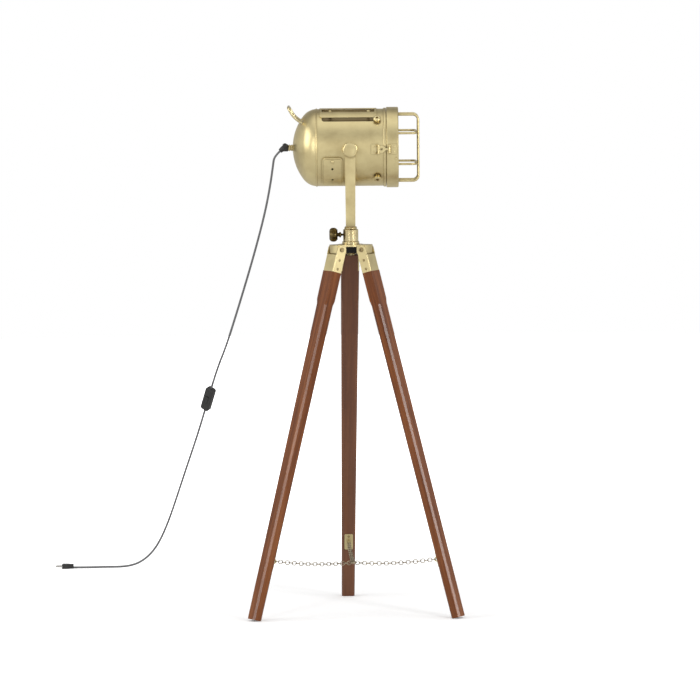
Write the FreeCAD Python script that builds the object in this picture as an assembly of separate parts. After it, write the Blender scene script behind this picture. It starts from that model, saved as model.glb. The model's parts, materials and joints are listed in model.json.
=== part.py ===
"""Tripod spotlight floor lamp: a brass searchlight head in a yoke on three folding wooden legs.

Millimetres, +Z up. The origin is on the floor under the tripod's middle, and the head points
along +X. Angles round the head are measured from its near side (-Y) up towards the top (+Z).
"""
import FreeCAD
import Part
import math
import os

V = FreeCAD.Vector
X_AXIS = V(1, 0, 0)
Y_AXIS = V(0, 1, 0)
Z_AXIS = V(0, 0, 1)

# Clearances
FIT = 0.08  # radial play of a pin or shaft that turns in its hole
SNUG = 0.05  # between curved faces of pieces that are fixed to each other
GAP = 0.3  # between faces that move past each other

# Tripod
TRIPOD_TURN = 2.7  # the tripod's turn under the head, as it stands in the photograph
LEG_AZIMUTHS = {"left": 210.0 + TRIPOD_TURN, "right": 330.0 + TRIPOD_TURN, "rear": 90.0 + TRIPOD_TURN}
LEAN_DEG = 15.5
PIVOT_R = 45.0
PIVOT_Z = 1016.0
LEG_TOP_WIDTH = 50.0
LEG_FOOT_WIDTH = 36.0
LEG_THICK = 28.0
LEG_CHAMFER = 5.0
CHAMFER_START = 144.0  # from the pivot down the leg
CHAMFER_RUNOUT = 14.0
WOOD_TOP = 19.0  # from the pivot down the leg
TOE_FLAT_DEPTH = 1.6  # how much of the toe's edge is planed level

# Leg brackets
BRACKET_WALL = 3.0
BRACKET_LENGTH = 64.0  # from the pivot down the leg
OUTER_WALL_TOP = 17.0
LUG_TOP = 10.0
LUG_RADIUS = 9.0
BRACKET_CORNER = 2.5
SCREW_ALONG = (30.0, 55.0)
SCREW_SHANK_R = 1.9
SCREW_HEAD_R = 3.6
SCREW_HEAD_H = 1.2
SCREW_LENGTH = 12.0
BOLT_R = 3.0
BOLT_HEAD_R = 6.0
BOLT_HEAD_H = 3.4

# Hub
HUB_BELOW_PIVOT = 10.5
HUB_THICK = 23.5
HUB_END_R = 61.0
HUB_DISC_R = 35.0
HUB_DISC_THICK = 5.5
HUB_EDGE = 1.0

# Collar and the stem that turns in it
STEM_R = 9.8
COLLAR_R = 21.2
COLLAR_FLANGE_R = 23.8
COLLAR_FLANGE_H = 9.0
COLLAR_H = 49.5
COLLAR_RING_R = 17.4
COLLAR_RING_H = 7.5
STEM_SHOULDER_R = 13.0
STEM_SHOULDER_H = 1.5
STEM_NECK_R = 6.0
STEM_CLIP_R = 14.5
STEM_CLIP_H = 3.5
STEM_BELOW_HUB = 7.0
STEM_NUT_R = 11.0
STEM_NUT_H = 9.0
THUMB_ABOVE_HUB = 26.5
THUMB_SCREW_R = 3.0

# Yoke
YOKE_TOP_WIDTH = 29.0
YOKE_BASE_WIDTH = 26.5
YOKE_THICK = 6.0
YOKE_BEND_R = 24.0  # inside of the bend
ARM_CLEARANCE = 10.0  # between the housing and each arm
YOKE_UNDER_HOUSING = 110.7  # from the underside of the yoke's base to the housing
PIVOT_STUD_R = 5.0
PIVOT_SPACER_R = 11.0
STUD_LENGTH = 12.0  # beyond the arm
KNOB_R = 21.5
KNOB_H = 17.0

# Head
HOUSING_R = 107.0
SHEET = 1.5
SEAM_X = -91.0
DOME_DEPTH = 68.0
DOME_SHOULDER_R = 48.0
SKIRT_LENGTH = 9.0
BEAD_R = 1.8
RIM_X0 = 92.5
RIM_X1 = 100.0
RIM_HEIGHT = 2.3
DOOR_GAP = 0.8

# Vent in the top of the housing
VENT_X0 = -78.0
VENT_X1 = 68.0
VENT_HALF_ARC = 45.2
VENT_CORNER = 8.0
COVER_HALF_ARC = 37.7
COVER_END = 6.0  # the cover's overlap on the housing at each end
COVER_THICK = 2.0
SLOT_ARC = (7.0, 23.3)  # from the top, on each side
SLOT_CORNER = 5.0
POST_X = (-54.5, 51.5)
POST_ARC = 19.5  # from the top
POST_R = 2.8
POST_HEAD_H = 1.4
BAFFLE_DEPTH = 16.0  # below the housing's skin
BAFFLE_HALF_ARC = 52.0

# Raised cover low on the near side
SIDE_X = -49.0
SIDE_WIDTH = 56.0
SIDE_ARC = (-66.0, -12.0)
SIDE_HEIGHT = 6.5
SIDE_DRAFT = 4.0
SIDE_HOLE_R = 3.3
SIDE_HOLE_ARCS = (-29.0, -49.0)
SIDE_SCREW_ARC = -17.5
SIDE_SCREW_R = 4.4

# Radial socket bolts near the front of the housing
SOCKET_X = 75.0
SOCKET_ARCS = (46.5, -46.5, 133.5, -133.5)
SOCKET_HEAD_R = 10.4
SOCKET_HEAD_H = 5.5
SOCKET_STEM_R = 7.5
SOCKET_STEM_H = 6.0
SOCKET_HEX = 7.0  # across the flats of the key hole

# Door: bezel, lens and guard
BEZEL_OVER = 4.5  # beyond the housing's radius
BEZEL_R = HOUSING_R + BEZEL_OVER
BEZEL_LENGTH = 33.2
BEZEL_WALL = 2.0
BEZEL_LIP_DEPTH = 19.5  # from the bezel's outside to the lip's edge
BEZEL_LIP_R = BEZEL_R - BEZEL_LIP_DEPTH
BEZEL_LIP_THICK = 2.5
LENS_THICK = 3.0
LENS_INSET = 7.5  # from the bezel's outside
LENS_R = BEZEL_R - LENS_INSET
LENS_RING_THICK = 2.4
LENS_SCREW_ARCS = (-13.5, 106.5, 226.5)
LENS_SCREW_R = 2.0
GUARD_ROD_R = 3.25
GUARD_BEND_R = 15.0
GUARD_REACH = 189.0
GUARD_UPRIGHT_Y = 40.0
GUARD_UPRIGHT_INSET = 20.0  # from the bezel's outside
GUARD_UPRIGHT_HALF = BEZEL_R - GUARD_UPRIGHT_INSET
GUARD_LEVEL_Z = 42.5
GUARD_LEVEL_INSET = 22.5
GUARD_LEVEL_HALF = BEZEL_R - GUARD_LEVEL_INSET

# Hinge on the far side and latch on the near side
LEAF_HALF_ARC = 7.0
LEAF_THICK = 2.0
LEAF_BODY_X = (60.0, 90.0)
LEAF_DOOR_X = (106.0, 129.0)
HINGE_R = 4.0
HINGE_PIN_R = 1.8
HINGE_HALF = 13.0
HINGE_MIDDLE = 4.5
HINGE_ABOVE_BEZEL = 5.5
RIVET_R = 2.3
RIVET_H = 0.9
LATCH_PIN_X = 78.0
LATCH_PIN_R = 1.5
LATCH_KNUCKLE_R = 3.0
LATCH_ABOVE_BEZEL = 3.0
LATCH_EYE_R = 10.0
LATCH_EYE_X = 86.7
LATCH_HOLE_R = 3.4
LATCH_NECK_HALF = 3.2
LATCH_BAR_X = 108.5
LATCH_BAR_R = 3.1
LATCH_BAR_HALF = 12.0
LATCH_THICK = 2.2
CATCH_SHEET = 0.9
CATCH_LUG_LENGTH = 4.8
CATCH_BITE = 0.6  # how far the lugs reach up past the underside of the lever's bar

# Lampholder and lamp
HOLDER_R = 20.0
HOLDER_LENGTH = 48.0
HOLDER_BACK_X = -70.0
HOLDER_BORE_R = 13.6
HOLDER_BORE_DEPTH = 30.0
STRAP_WIDTH = 20.0
STRAP_THICK = 2.0
BULB_R = 30.0
BULB_CENTRE_X = 32.0
BULB_NECK_R = 16.5
BULB_NOSE_R = 2.0
BULB_WALL = 1.0
CAP_R = 13.2
CAP_LENGTH = 26.0
CAP_STANDS_OUT = 2.0

# Carrying handle on the dome
HANDLE_ROD_R = 4.0
HANDLE_HALF = 47.0
HANDLE_BEHIND_SEAM = 40.8
HANDLE_FOOT_X = SEAM_X - HANDLE_BEHIND_SEAM
HANDLE_RISE_DEG = 32.0
HANDLE_TIP_DEG = 62.0
HANDLE_LOWER = 27.5
HANDLE_UPPER = 31.0
HANDLE_INSIDE = 10.0
HANDLE_BEND_R = 70.0
HANDLE_CORNER_R = 10.0
HANDLE_NUT_R = 7.0
HANDLE_NUT_H = 4.0

# Cord, its nipple and grip, the in-line switch and the plug
CORD_D = 6.0
NIPPLE_R = 9.0
NIPPLE_LENGTH = 13.0
NIPPLE_THREAD_R = 5.0
GRIP_R = 10.0
GRIP_LENGTH = 15.0
GRIP_TAIL_DEG = 40.0
GRIP_TAIL_LENGTH = 12.5
GRIP_TAIL_R = 6.0
GRIP_SCREW_R = 6.5
GRIP_SCREW_RISE = 7.0
SWITCH_LENGTH = 76.0
SWITCH_WIDTH = 27.0
SWITCH_THICK = 19.0
SWITCH_CENTRE = V(-412.0, 414.0, 560.0)
SWITCH_RUN = V(-0.30, 0.61, -1.0)
SWITCH_FACE = V(-0.42, -0.9, 0.0)
CORD_LEAD = 27.0  # straight run of the cord beyond the grip's tail
SWITCH_LEAD = 76.0  # straight run of the cord beyond each end of the switch
ROCKER_LENGTH = 22.0
ROCKER_WIDTH = 9.0
ROCKER_RISE = 1.6
PLUG_LENGTH = 34.0
PLUG_WIDTH = 26.0
PLUG_THICK = 13.0
PLUG_PIN_R = 2.0
PLUG_PIN_LENGTH = 19.0
PLUG_PIN_PITCH = 19.0
CORD_FLOOR_Z = CORD_D / 2 + 0.2
HEAD_CORD_ROUTE = (
    (-214.5, 11.0, 1248.0), (-220.8, 24.0, 1205.0), (-232.0, 47.0, 1145.0), (-247.6, 79.0, 1080.0),
    (-266.3, 117.0, 1012.0), (-287.3, 160.0, 940.0), (-310.0, 206.0, 866.0),
    (-333.3, 253.7, 792.0), (-357.0, 302.0, 719.0),
)
FLOOR_CORD_ROUTE = (
    (-461.5, 515.0, 403.0), (-485.5, 564.0, 333.0), (-508.5, 611.0, 264.0), (-530.5, 656.0, 199.0),
    (-553.0, 702.0, 141.0), (-576.0, 749.0, 94.0), (-603.4, 803.7, 56.0), (-635.0, 868.0, 28.0),
    (-662.0, 922.0, 13.0), (-692.0, 957.0, 5.0), (-735.0, 971.0, CORD_FLOOR_Z),
    (-788.0, 964.0, CORD_FLOOR_Z),
)
PLUG_BACK = V(-834.0, 964.0, CORD_FLOOR_Z)

# Chains
CHAIN_PLATE_DOWN = 882.0  # from the pivot down the leg to the plate's middle
CHAIN_PLATE_WIDTH = 24.0
CHAIN_PLATE_LENGTH = 47.0
CHAIN_PLATE_THICK = 2.0
EYE_HOLE_R = 3.6
EYE_WALL = 3.0
EYE_REACH = 6.0  # hole's middle in front of the plate
EYE_THICK = 2.6
CHAIN_RING_Z = 137.0
CHAIN_RING_R = 9.0
CHAIN_WIRE = 2.2
CHAIN_RING_WIRE_R = 1.6
CHAIN_LINKS = 22
LINK_INNER_WIDTH = 8.2
LINK_SLACK = 0.35

# Worked out from the values above
LEAN = math.radians(LEAN_DEG)
LEG_LENGTH = (PIVOT_Z + TOE_FLAT_DEPTH - LEG_THICK / 2 * math.sin(LEAN)) / math.cos(LEAN)
CHEEK_IN = LEG_TOP_WIDTH / 2 - BRACKET_WALL
HUB_BOTTOM_Z = PIVOT_Z - HUB_BELOW_PIVOT
HUB_TOP_Z = HUB_BOTTOM_Z + HUB_THICK
COLLAR_TOP_Z = HUB_TOP_Z + COLLAR_H
YOKE_BASE_Z = COLLAR_TOP_Z + GAP + STEM_SHOULDER_H
YOKE_RISE = HOUSING_R + YOKE_UNDER_HOUSING
HEAD_Z = YOKE_BASE_Z + YOKE_RISE
ARM_IN = HOUSING_R + ARM_CLEARANCE
ARM_OUT = ARM_IN + YOKE_THICK
BEZEL_X0 = RIM_X1 + DOOR_GAP
BEZEL_X1 = BEZEL_X0 + BEZEL_LENGTH
LIP_X = BEZEL_X1 - BEZEL_LIP_THICK
LENS_X1 = LIP_X - GAP
LENS_X0 = LENS_X1 - LENS_THICK
NIPPLE_X0 = SEAM_X - DOME_DEPTH
GRIP_X0 = NIPPLE_X0 - NIPPLE_LENGTH
GRIP_X1 = GRIP_X0 - GRIP_LENGTH

NODES = {}


def add(node, *solids):
    """Put solids into a named node."""
    NODES.setdefault(node, []).extend(solids)


def placed(shape, placement):
    moved = shape.copy()
    moved.Placement = placement.multiply(shape.Placement)
    return moved


def turn_to(axis):
    """Rotation that takes +Z to an axis."""
    return FreeCAD.Rotation(Z_AXIS, axis)


def fused(*shapes):
    body = shapes[0].fuse(list(shapes[1:])) if len(shapes) > 1 else shapes[0]
    return body.removeSplitter().Solids[0]


def block(x0, x1, y0, y1, z0, z1):
    return Part.makeBox(x1 - x0, y1 - y0, z1 - z0, V(x0, y0, z0))


def rod_between(radius, start, end):
    run = end - start
    return Part.makeCylinder(radius, run.Length, start, run)


def closed_wire(steps, to_space):
    """Wire through steps: a point, or a (through, end) pair for an arc."""
    edges = []
    here = steps[0]
    for step in list(steps[1:]) + [steps[0]]:
        if isinstance(step[0], tuple):
            through, end = step
            edges.append(Part.Arc(to_space(*here), to_space(*through), to_space(*end)).toShape())
        else:
            end = step
            edges.append(Part.LineSegment(to_space(*here), to_space(*end)).toShape())
        here = end
    return Part.Wire(edges)


def turned(steps, base=V(), axis=Z_AXIS):
    """Solid of revolution from (radius, height) steps, standing on base along axis."""
    face = Part.Face(closed_wire(steps, lambda radius, height: V(radius, 0, height)))
    solid = face.revolve(V(), Z_AXIS, 360)
    return placed(solid, FreeCAD.Placement(base, turn_to(axis)))


def plate(steps, thick):
    """Flat plate from (x, y) steps, from z = 0 up to thick."""
    return Part.Face(closed_wire(steps, lambda x, y: V(x, y, 0))).extrude(V(0, 0, thick))


def hexagon(across_flats, height, base, axis):
    corner_r = across_flats / math.sqrt(3)
    corners = [(corner_r * math.cos(math.radians(60 * k)), corner_r * math.sin(math.radians(60 * k)))
               for k in range(6)]
    return placed(plate(corners, height), FreeCAD.Placement(base, turn_to(axis)))


def around(arc_deg):
    """Unit vector out of the head's axis at an angle from the near side."""
    arc = math.radians(arc_deg)
    return V(0, -math.cos(arc), math.sin(arc))


def sector(r0, r1, arc0, arc1, x0, x1):
    """Curved slab round the head's axis."""
    out = around(arc0)
    corners = [V(x0, 0, 0) + out * r0, V(x1, 0, 0) + out * r0,
               V(x1, 0, 0) + out * r1, V(x0, 0, 0) + out * r1]
    face = Part.Face(Part.makePolygon(corners + corners[:1]))
    return face.revolve(V(), V(-1, 0, 0), arc1 - arc0)


def round_sector(r0, r1, arc0, arc1, x0, x1, corner):
    """Curved slab whose four radial corners are rounded."""
    slab = sector(r0, r1, arc0, arc1, x0, x1)
    radial = [edge for edge in slab.Edges
              if abs(edge.Length - (r1 - r0)) < 0.01 and edge.Curve.TypeId == "Part::GeomLine"]
    return slab.makeFillet(corner, radial)


def corner_arc(before, corner, after, radius):
    """Arc of a radius that rounds a corner, tangent to both runs."""
    back = (before - corner).normalize()
    ahead = (after - corner).normalize()
    half = back.getAngle(ahead) / 2
    middle = (back + ahead).normalize()
    reach = radius / math.tan(half)
    apex = corner + middle * (radius / math.sin(half) - radius)
    return Part.Arc(corner + back * reach, apex, corner + ahead * reach)


def bent_path(points, radii):
    """Wire of straight runs joined by tangent arcs, one radius for each inner point."""
    edges = []
    here = points[0]
    for k, radius in enumerate(radii, start=1):
        arc = corner_arc(points[k - 1], points[k], points[k + 1], radius)
        edges.append(Part.LineSegment(here, arc.StartPoint).toShape())
        edges.append(arc.toShape())
        here = arc.EndPoint
    edges.append(Part.LineSegment(here, points[-1]).toShape())
    return Part.Wire(edges)


def bent_rod(points, radii, rod_r):
    path = bent_path(points, radii)
    ring = Part.Wire(Part.makeCircle(rod_r, points[0], points[1] - points[0]))
    return path.makePipeShell([ring], True, False)


def cord_radii(points):
    """Largest arcs that a cord's runs allow."""
    radii = []
    for before, corner, after in zip(points, points[1:], points[2:]):
        turn = math.pi - (before - corner).getAngle(after - corner)
        shorter = min((corner - before).Length, (after - corner).Length)
        radii.append(0.45 * shorter / math.tan(turn / 2))
    return radii


# Tripod ------------------------------------------------------------------------------------------


def leg_placement(azimuth):
    """Leg frame: origin at the pivot, +X out through the leg's face, +Y along the bolt."""
    turn = FreeCAD.Rotation(Z_AXIS, azimuth)
    lean = FreeCAD.Rotation(Y_AXIS, -LEAN_DEG)
    return FreeCAD.Placement(turn.multVec(V(PIVOT_R, 0, 0)) + V(0, 0, PIVOT_Z), turn.multiply(lean))


def corner_chamfer(side_x, side_y):
    """Tool for one stop chamfer down a leg's corner, which runs out in a slope at its top."""
    slope = (LEG_TOP_WIDTH - LEG_FOOT_WIDTH) / 2 / (LEG_LENGTH - BRACKET_LENGTH)
    past = 1.0

    def triangle(along, size):
        half_width = LEG_TOP_WIDTH / 2 - slope * (along - BRACKET_LENGTH)
        x = LEG_THICK / 2
        corners = [(x + past, half_width + past), (x - size - past, half_width + past),
                   (x + past, half_width - size - past)]
        points = [V(side_x * cx, side_y * cy, -along) for cx, cy in corners]
        return Part.makePolygon(points + points[:1])

    full = CHAMFER_START + CHAMFER_RUNOUT
    runout = Part.makeLoft([triangle(CHAMFER_START, 0), triangle(full, LEG_CHAMFER)], True, True)
    main = Part.makeLoft([triangle(full, LEG_CHAMFER), triangle(LEG_LENGTH + 5, LEG_CHAMFER)], True, True)
    return runout.fuse(main)


def screw_places():
    """Bracket screws in the leg frame: where each enters, and the way it goes in."""
    for side in (-1, 1):
        for along in SCREW_ALONG:
            yield V(0, side * LEG_TOP_WIDTH / 2, -along), V(0, -side, 0)


def leg_wood(placement):
    half_top = LEG_TOP_WIDTH / 2
    half_foot = LEG_FOOT_WIDTH / 2
    board = Part.makePolygon([V(-LEG_THICK / 2, -half_top, -BRACKET_LENGTH),
                              V(-LEG_THICK / 2, half_top, -BRACKET_LENGTH),
                              V(-LEG_THICK / 2, half_foot, -LEG_LENGTH),
                              V(-LEG_THICK / 2, -half_foot, -LEG_LENGTH),
                              V(-LEG_THICK / 2, -half_top, -BRACKET_LENGTH)])
    board = Part.Face(board).extrude(V(LEG_THICK, 0, 0))
    tenon = block(-LEG_THICK / 2, LEG_THICK / 2 - BRACKET_WALL, -CHEEK_IN, CHEEK_IN,
                  -BRACKET_LENGTH, -WOOD_TOP)
    wood = board.fuse(tenon).removeSplitter()
    for side_x in (-1, 1):
        for side_y in (-1, 1):
            wood = wood.cut(corner_chamfer(side_x, side_y))
    for entry, inward in screw_places():
        wood = wood.cut(rod_between(SCREW_SHANK_R + SNUG, entry, entry + inward * (SCREW_LENGTH + 1)))
    for entry, inward in plate_screw_places():
        wood = wood.cut(rod_between(SCREW_SHANK_R + SNUG, entry, entry + inward * (SCREW_LENGTH + 1)))
    wood = placed(wood, placement)
    below_floor = block(-600, 600, -600, 600, -100, 0)
    return wood.cut(below_floor).Solids[0]


def leg_bracket():
    half = LEG_TOP_WIDTH / 2
    face = LEG_THICK / 2
    channel = block(-face, face, -half, half, -BRACKET_LENGTH, -OUTER_WALL_TOP)
    corners = [edge for edge in channel.Edges
               if all(abs(v.X - face) < 0.01 for v in edge.Vertexes) and edge.BoundBox.ZLength > 1]
    channel = channel.makeFillet(BRACKET_CORNER, corners)
    channel = channel.cut(block(-face - 1, face - BRACKET_WALL, -CHEEK_IN, CHEEK_IN,
                                -BRACKET_LENGTH - 1, 0))
    parts = [channel]
    for side in (-1, 1):
        y0, y1 = sorted((side * CHEEK_IN, side * half))
        lug = block(-face, face, y0, y1, -OUTER_WALL_TOP, LUG_TOP)
        top = [edge for edge in lug.Edges
               if all(abs(v.Z - LUG_TOP) < 0.01 for v in edge.Vertexes) and edge.BoundBox.YLength > 1]
        parts.append(lug.makeFillet(LUG_RADIUS, top))
    bracket = fused(*parts)
    bracket = bracket.cut(rod_between(BOLT_R + FIT, V(0, -half - 1, 0), V(0, half + 1, 0)))
    for entry, inward in screw_places():
        bracket = bracket.cut(rod_between(SCREW_SHANK_R + SNUG, entry - inward, entry + inward * 5))
    return bracket.Solids[0]


def wood_screw(entry, inward):
    """Round-headed screw whose head rests on the surface."""
    head = turned([(0, -SCREW_LENGTH), (SCREW_SHANK_R, -SCREW_LENGTH), (SCREW_SHANK_R, 0),
                   (SCREW_HEAD_R, 0), (SCREW_HEAD_R * 0.7, SCREW_HEAD_H), (0, SCREW_HEAD_H)])
    return placed(head, FreeCAD.Placement(entry, turn_to(inward * -1)))


def plate_screw_places():
    """Chain plate screws, through the plate into the leg's inner face."""
    for end in (-1, 1):
        along = CHAIN_PLATE_DOWN + end * (CHAIN_PLATE_LENGTH / 2 - 7)
        yield V(-LEG_THICK / 2, 0, -along), V(1, 0, 0)


def eye_centre():
    """Middle of the eye's hole in the leg frame."""
    return V(-LEG_THICK / 2 - CHAIN_PLATE_THICK - EYE_REACH, 0, -CHAIN_PLATE_DOWN)


def chain_plate():
    """Plate on the leg's inner face, with a pierced lug brazed to its middle."""
    face = -LEG_THICK / 2
    back = face - CHAIN_PLATE_THICK
    half = CHAIN_PLATE_WIDTH / 2
    sheet = block(back, face, -half, half, -CHAIN_PLATE_DOWN - CHAIN_PLATE_LENGTH / 2,
                  -CHAIN_PLATE_DOWN + CHAIN_PLATE_LENGTH / 2)
    edges = [edge for edge in sheet.Edges if abs(edge.Length - CHAIN_PLATE_THICK) < 0.01]
    sheet = sheet.makeFillet(4.0, edges)
    centre = eye_centre()
    rim = EYE_HOLE_R + EYE_WALL
    across = V(0, EYE_THICK / 2, 0)
    lug = rod_between(rim, centre - across, centre + across)
    lug = lug.fuse(block(centre.x, back, -EYE_THICK / 2, EYE_THICK / 2, centre.z - rim, centre.z + rim))
    body = fused(sheet, lug)
    body = body.cut(rod_between(EYE_HOLE_R, centre - across * 3, centre + across * 3))
    for entry, inward in plate_screw_places():
        body = body.cut(rod_between(SCREW_SHANK_R + SNUG, entry - inward * 5, entry + inward))
    return body.Solids[0]


def hub():
    """Three arms cut from one turned disc, with a thinner disc between them at the top."""
    height = HUB_THICK
    arm_half = CHEEK_IN - GAP
    disc = turned([(0, 0), (HUB_END_R - HUB_EDGE, 0), (HUB_END_R, HUB_EDGE),
                   (HUB_END_R, height - HUB_EDGE), (HUB_END_R - HUB_EDGE, height), (0, height)])
    arms = []
    for azimuth in LEG_AZIMUTHS.values():
        arm = block(0, HUB_END_R + 1, -arm_half, arm_half, 0, height)
        arms.append(placed(arm, FreeCAD.Placement(V(), FreeCAD.Rotation(Z_AXIS, azimuth))))
    star = arms[0].fuse(arms[1:]).common(disc)
    top = Part.makeCylinder(HUB_DISC_R, HUB_DISC_THICK, V(0, 0, height - HUB_DISC_THICK))
    body = fused(star, top)
    body = body.cut(Part.makeCylinder(STEM_R + FIT, height + 2, V(0, 0, -1)))
    body.translate(V(0, 0, HUB_BOTTOM_Z))
    for start, end in bolt_lines():
        body = body.cut(rod_between(BOLT_R + SNUG, start, end))
    return body.Solids[0]


def bolt_lines():
    """Ends of each pivot bolt's shank, from cheek face to cheek face."""
    half = LEG_TOP_WIDTH / 2 + GAP / 2
    for azimuth in LEG_AZIMUTHS.values():
        turn = FreeCAD.Rotation(Z_AXIS, azimuth)
        yield tuple(turn.multVec(V(PIVOT_R, side * half, 0)) + V(0, 0, PIVOT_Z) for side in (-1, 1))


def pivot_bolts():
    """One solid for each bolt, with its head and its domed nut."""
    head = [(0, 0), (BOLT_HEAD_R, 0), (BOLT_HEAD_R, BOLT_HEAD_H * 0.6),
            (BOLT_HEAD_R * 0.72, BOLT_HEAD_H), (0, BOLT_HEAD_H)]
    for start, end in bolt_lines():
        along = end - start
        shank = rod_between(BOLT_R, start, end)
        far_head = turned(head, end, along)
        near_head = turned(head, start, along * -1)
        slot_base = start - along.normalize() * BOLT_HEAD_H
        key = hexagon(5.0, 2.0, slot_base, along)
        yield fused(shank, far_head, near_head.cut(key))


def make_tripod():
    add("tripod_hub", hub())
    add("pivot_bolts", *pivot_bolts())
    for name, azimuth in LEG_AZIMUTHS.items():
        placement = leg_placement(azimuth)
        add("leg_" + name, leg_wood(placement))
        add("leg_bracket_" + name, placed(leg_bracket(), placement))
        add("chain_plate_" + name, placed(chain_plate(), placement))
        screws = [wood_screw(entry, inward) for entry, inward in screw_places()]
        screws += [wood_screw(entry - inward * CHAIN_PLATE_THICK, inward)
                   for entry, inward in plate_screw_places()]
        add("leg_screws_" + name, *[placed(screw, placement) for screw in screws])


# Chains ------------------------------------------------------------------------------------------


def octagon(half_length, half_width, cut):
    return [(-half_length, -half_width + cut), (-half_length + cut, -half_width),
            (half_length - cut, -half_width), (half_length, -half_width + cut),
            (half_length, half_width - cut), (half_length - cut, half_width),
            (-half_length + cut, half_width), (-half_length, half_width - cut)]


def chain_link(inner_length):
    """Eight-sided link, long along X, its wire square, so that many links stay light."""
    half_length = inner_length / 2
    half_width = LINK_INNER_WIDTH / 2
    outer = plate(octagon(half_length + CHAIN_WIRE, half_width + CHAIN_WIRE, 3.4), CHAIN_WIRE)
    inner = plate(octagon(half_length, half_width, 2.0), CHAIN_WIRE)
    link = outer.cut(inner)
    link.translate(V(0, 0, -CHAIN_WIRE / 2))
    return link.Solids[0]


def chain_ends():
    """Where the first link bears on the eye and the last on the ring, in the leg's upright plane."""
    eye = FreeCAD.Rotation(Y_AXIS, -LEAN_DEG).multVec(eye_centre()) + V(PIVOT_R, 0, PIVOT_Z)
    start = V(eye.x - EYE_HOLE_R + LINK_SLACK / 2, 0, eye.z)
    end = V(CHAIN_RING_R - CHAIN_RING_WIRE_R - LINK_SLACK / 2, 0, CHAIN_RING_Z)
    return start, end


def chain_curve(start, end, steps=600):
    """Points down a chain that hangs level at its ring."""
    points = []
    for k in range(steps + 1):
        share = k / steps
        points.append(V(start.x + (end.x - start.x) * share, 0,
                        end.z + (start.z - end.z) * (1 - share) ** 2))
    return points


def evenly_along(points, count):
    """Points that divide a polyline into equal lengths, and that length."""
    lengths = [0.0]
    for before, after in zip(points, points[1:]):
        lengths.append(lengths[-1] + (after - before).Length)
    step = lengths[-1] / count
    found = []
    k = 0
    for n in range(count + 1):
        while k < len(points) - 2 and lengths[k + 1] < n * step:
            k += 1
        share = (n * step - lengths[k]) / (lengths[k + 1] - lengths[k])
        found.append(points[k] + (points[k + 1] - points[k]) * min(share, 1.0))
    return found, step


def chain_links():
    """The links of one chain in the leg's upright plane, every other one turned flat."""
    joints, pitch = evenly_along(chain_curve(*chain_ends()), CHAIN_LINKS)
    link = chain_link(pitch + LINK_SLACK)
    for n, (before, after) in enumerate(zip(joints, joints[1:])):
        along = (after - before).normalize()
        level = V(0, 1, 0)
        if n % 2:
            width = along.cross(level)
        else:
            width = level
        turn = FreeCAD.Rotation(along, width, along.cross(width), "XYZ")
        yield placed(link, FreeCAD.Placement((before + after) * 0.5, turn))


def make_chains():
    links = list(chain_links())
    for name, azimuth in LEG_AZIMUTHS.items():
        turn = FreeCAD.Placement(V(), FreeCAD.Rotation(Z_AXIS, azimuth))
        add("chain_" + name, *[placed(link, turn) for link in links])
    ring = Part.makeTorus(CHAIN_RING_R, CHAIN_RING_WIRE_R, V(0, 0, CHAIN_RING_Z))
    add("chain_ring", ring)


# Collar, stem and yoke ---------------------------------------------------------------------------


def collar():
    body = turned([(STEM_R + FIT, 0), (COLLAR_FLANGE_R, 0), (COLLAR_FLANGE_R, COLLAR_FLANGE_H - 2),
                   (COLLAR_R, COLLAR_FLANGE_H), (COLLAR_R, COLLAR_H - COLLAR_RING_H - 1.5),
                   (COLLAR_R - 2, COLLAR_H - COLLAR_RING_H), (COLLAR_RING_R, COLLAR_H - COLLAR_RING_H + 1),
                   (COLLAR_RING_R, COLLAR_H - 2), (COLLAR_RING_R - 2, COLLAR_H), (STEM_R + FIT, COLLAR_H)],
                  V(0, 0, HUB_TOP_Z))
    hole = rod_between(THUMB_SCREW_R + FIT, V(0, 0, HUB_TOP_Z + THUMB_ABOVE_HUB),
                       V(-COLLAR_FLANGE_R - 2, 0, HUB_TOP_Z + THUMB_ABOVE_HUB))
    return body.cut(hole).Solids[0]


def rosette(radius, height, bore_r, bore_depth):
    """Four-lobed knob that stands on z = 0, with a blind bore in its foot."""
    lobe_r = radius * 0.42
    ease = 3.0
    lobes = []
    for k in range(4):
        quarter = math.radians(90 * k)
        base = V((radius - lobe_r) * math.cos(quarter), (radius - lobe_r) * math.sin(quarter), 0)
        lobes.append(turned([(0, 0), (lobe_r - ease, 0), (lobe_r, ease), (lobe_r, height - ease),
                             (lobe_r - ease, height), (0, height)], base))
    middle = turned([(0, 0), (radius * 0.62, 0), (radius * 0.62, height - 2), (radius * 0.3, height),
                     (0, height)])
    knob = fused(middle, *lobes)
    if bore_r:
        knob = knob.cut(Part.makeCylinder(bore_r, bore_depth + 1, V(0, 0, -1)))
    return knob.Solids[0]


def thumb_screw():
    """Clamp screw of the collar: thread, ringed neck and a rosette."""
    reach = COLLAR_R - STEM_R
    screw = turned([(0, 0), (THUMB_SCREW_R, 0), (THUMB_SCREW_R, reach + 4), (5.4, reach + 5),
                    (7.8, reach + 7), (7.8, reach + 10), (5.4, reach + 12), (5.4, reach + 16),
                    (0, reach + 16)])
    grip = rosette(19.5, 23.0, 0, 0)
    grip.translate(V(0, 0, reach + 15))
    body = fused(screw, grip)
    base = V(-STEM_R - GAP, 0, HUB_TOP_Z + THUMB_ABOVE_HUB)
    turn = FreeCAD.Rotation(V(0, 0, -1), V(0, 1, 0), V(-1, 0, 0), "ZYX")
    return placed(body, FreeCAD.Placement(base, turn))


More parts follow.
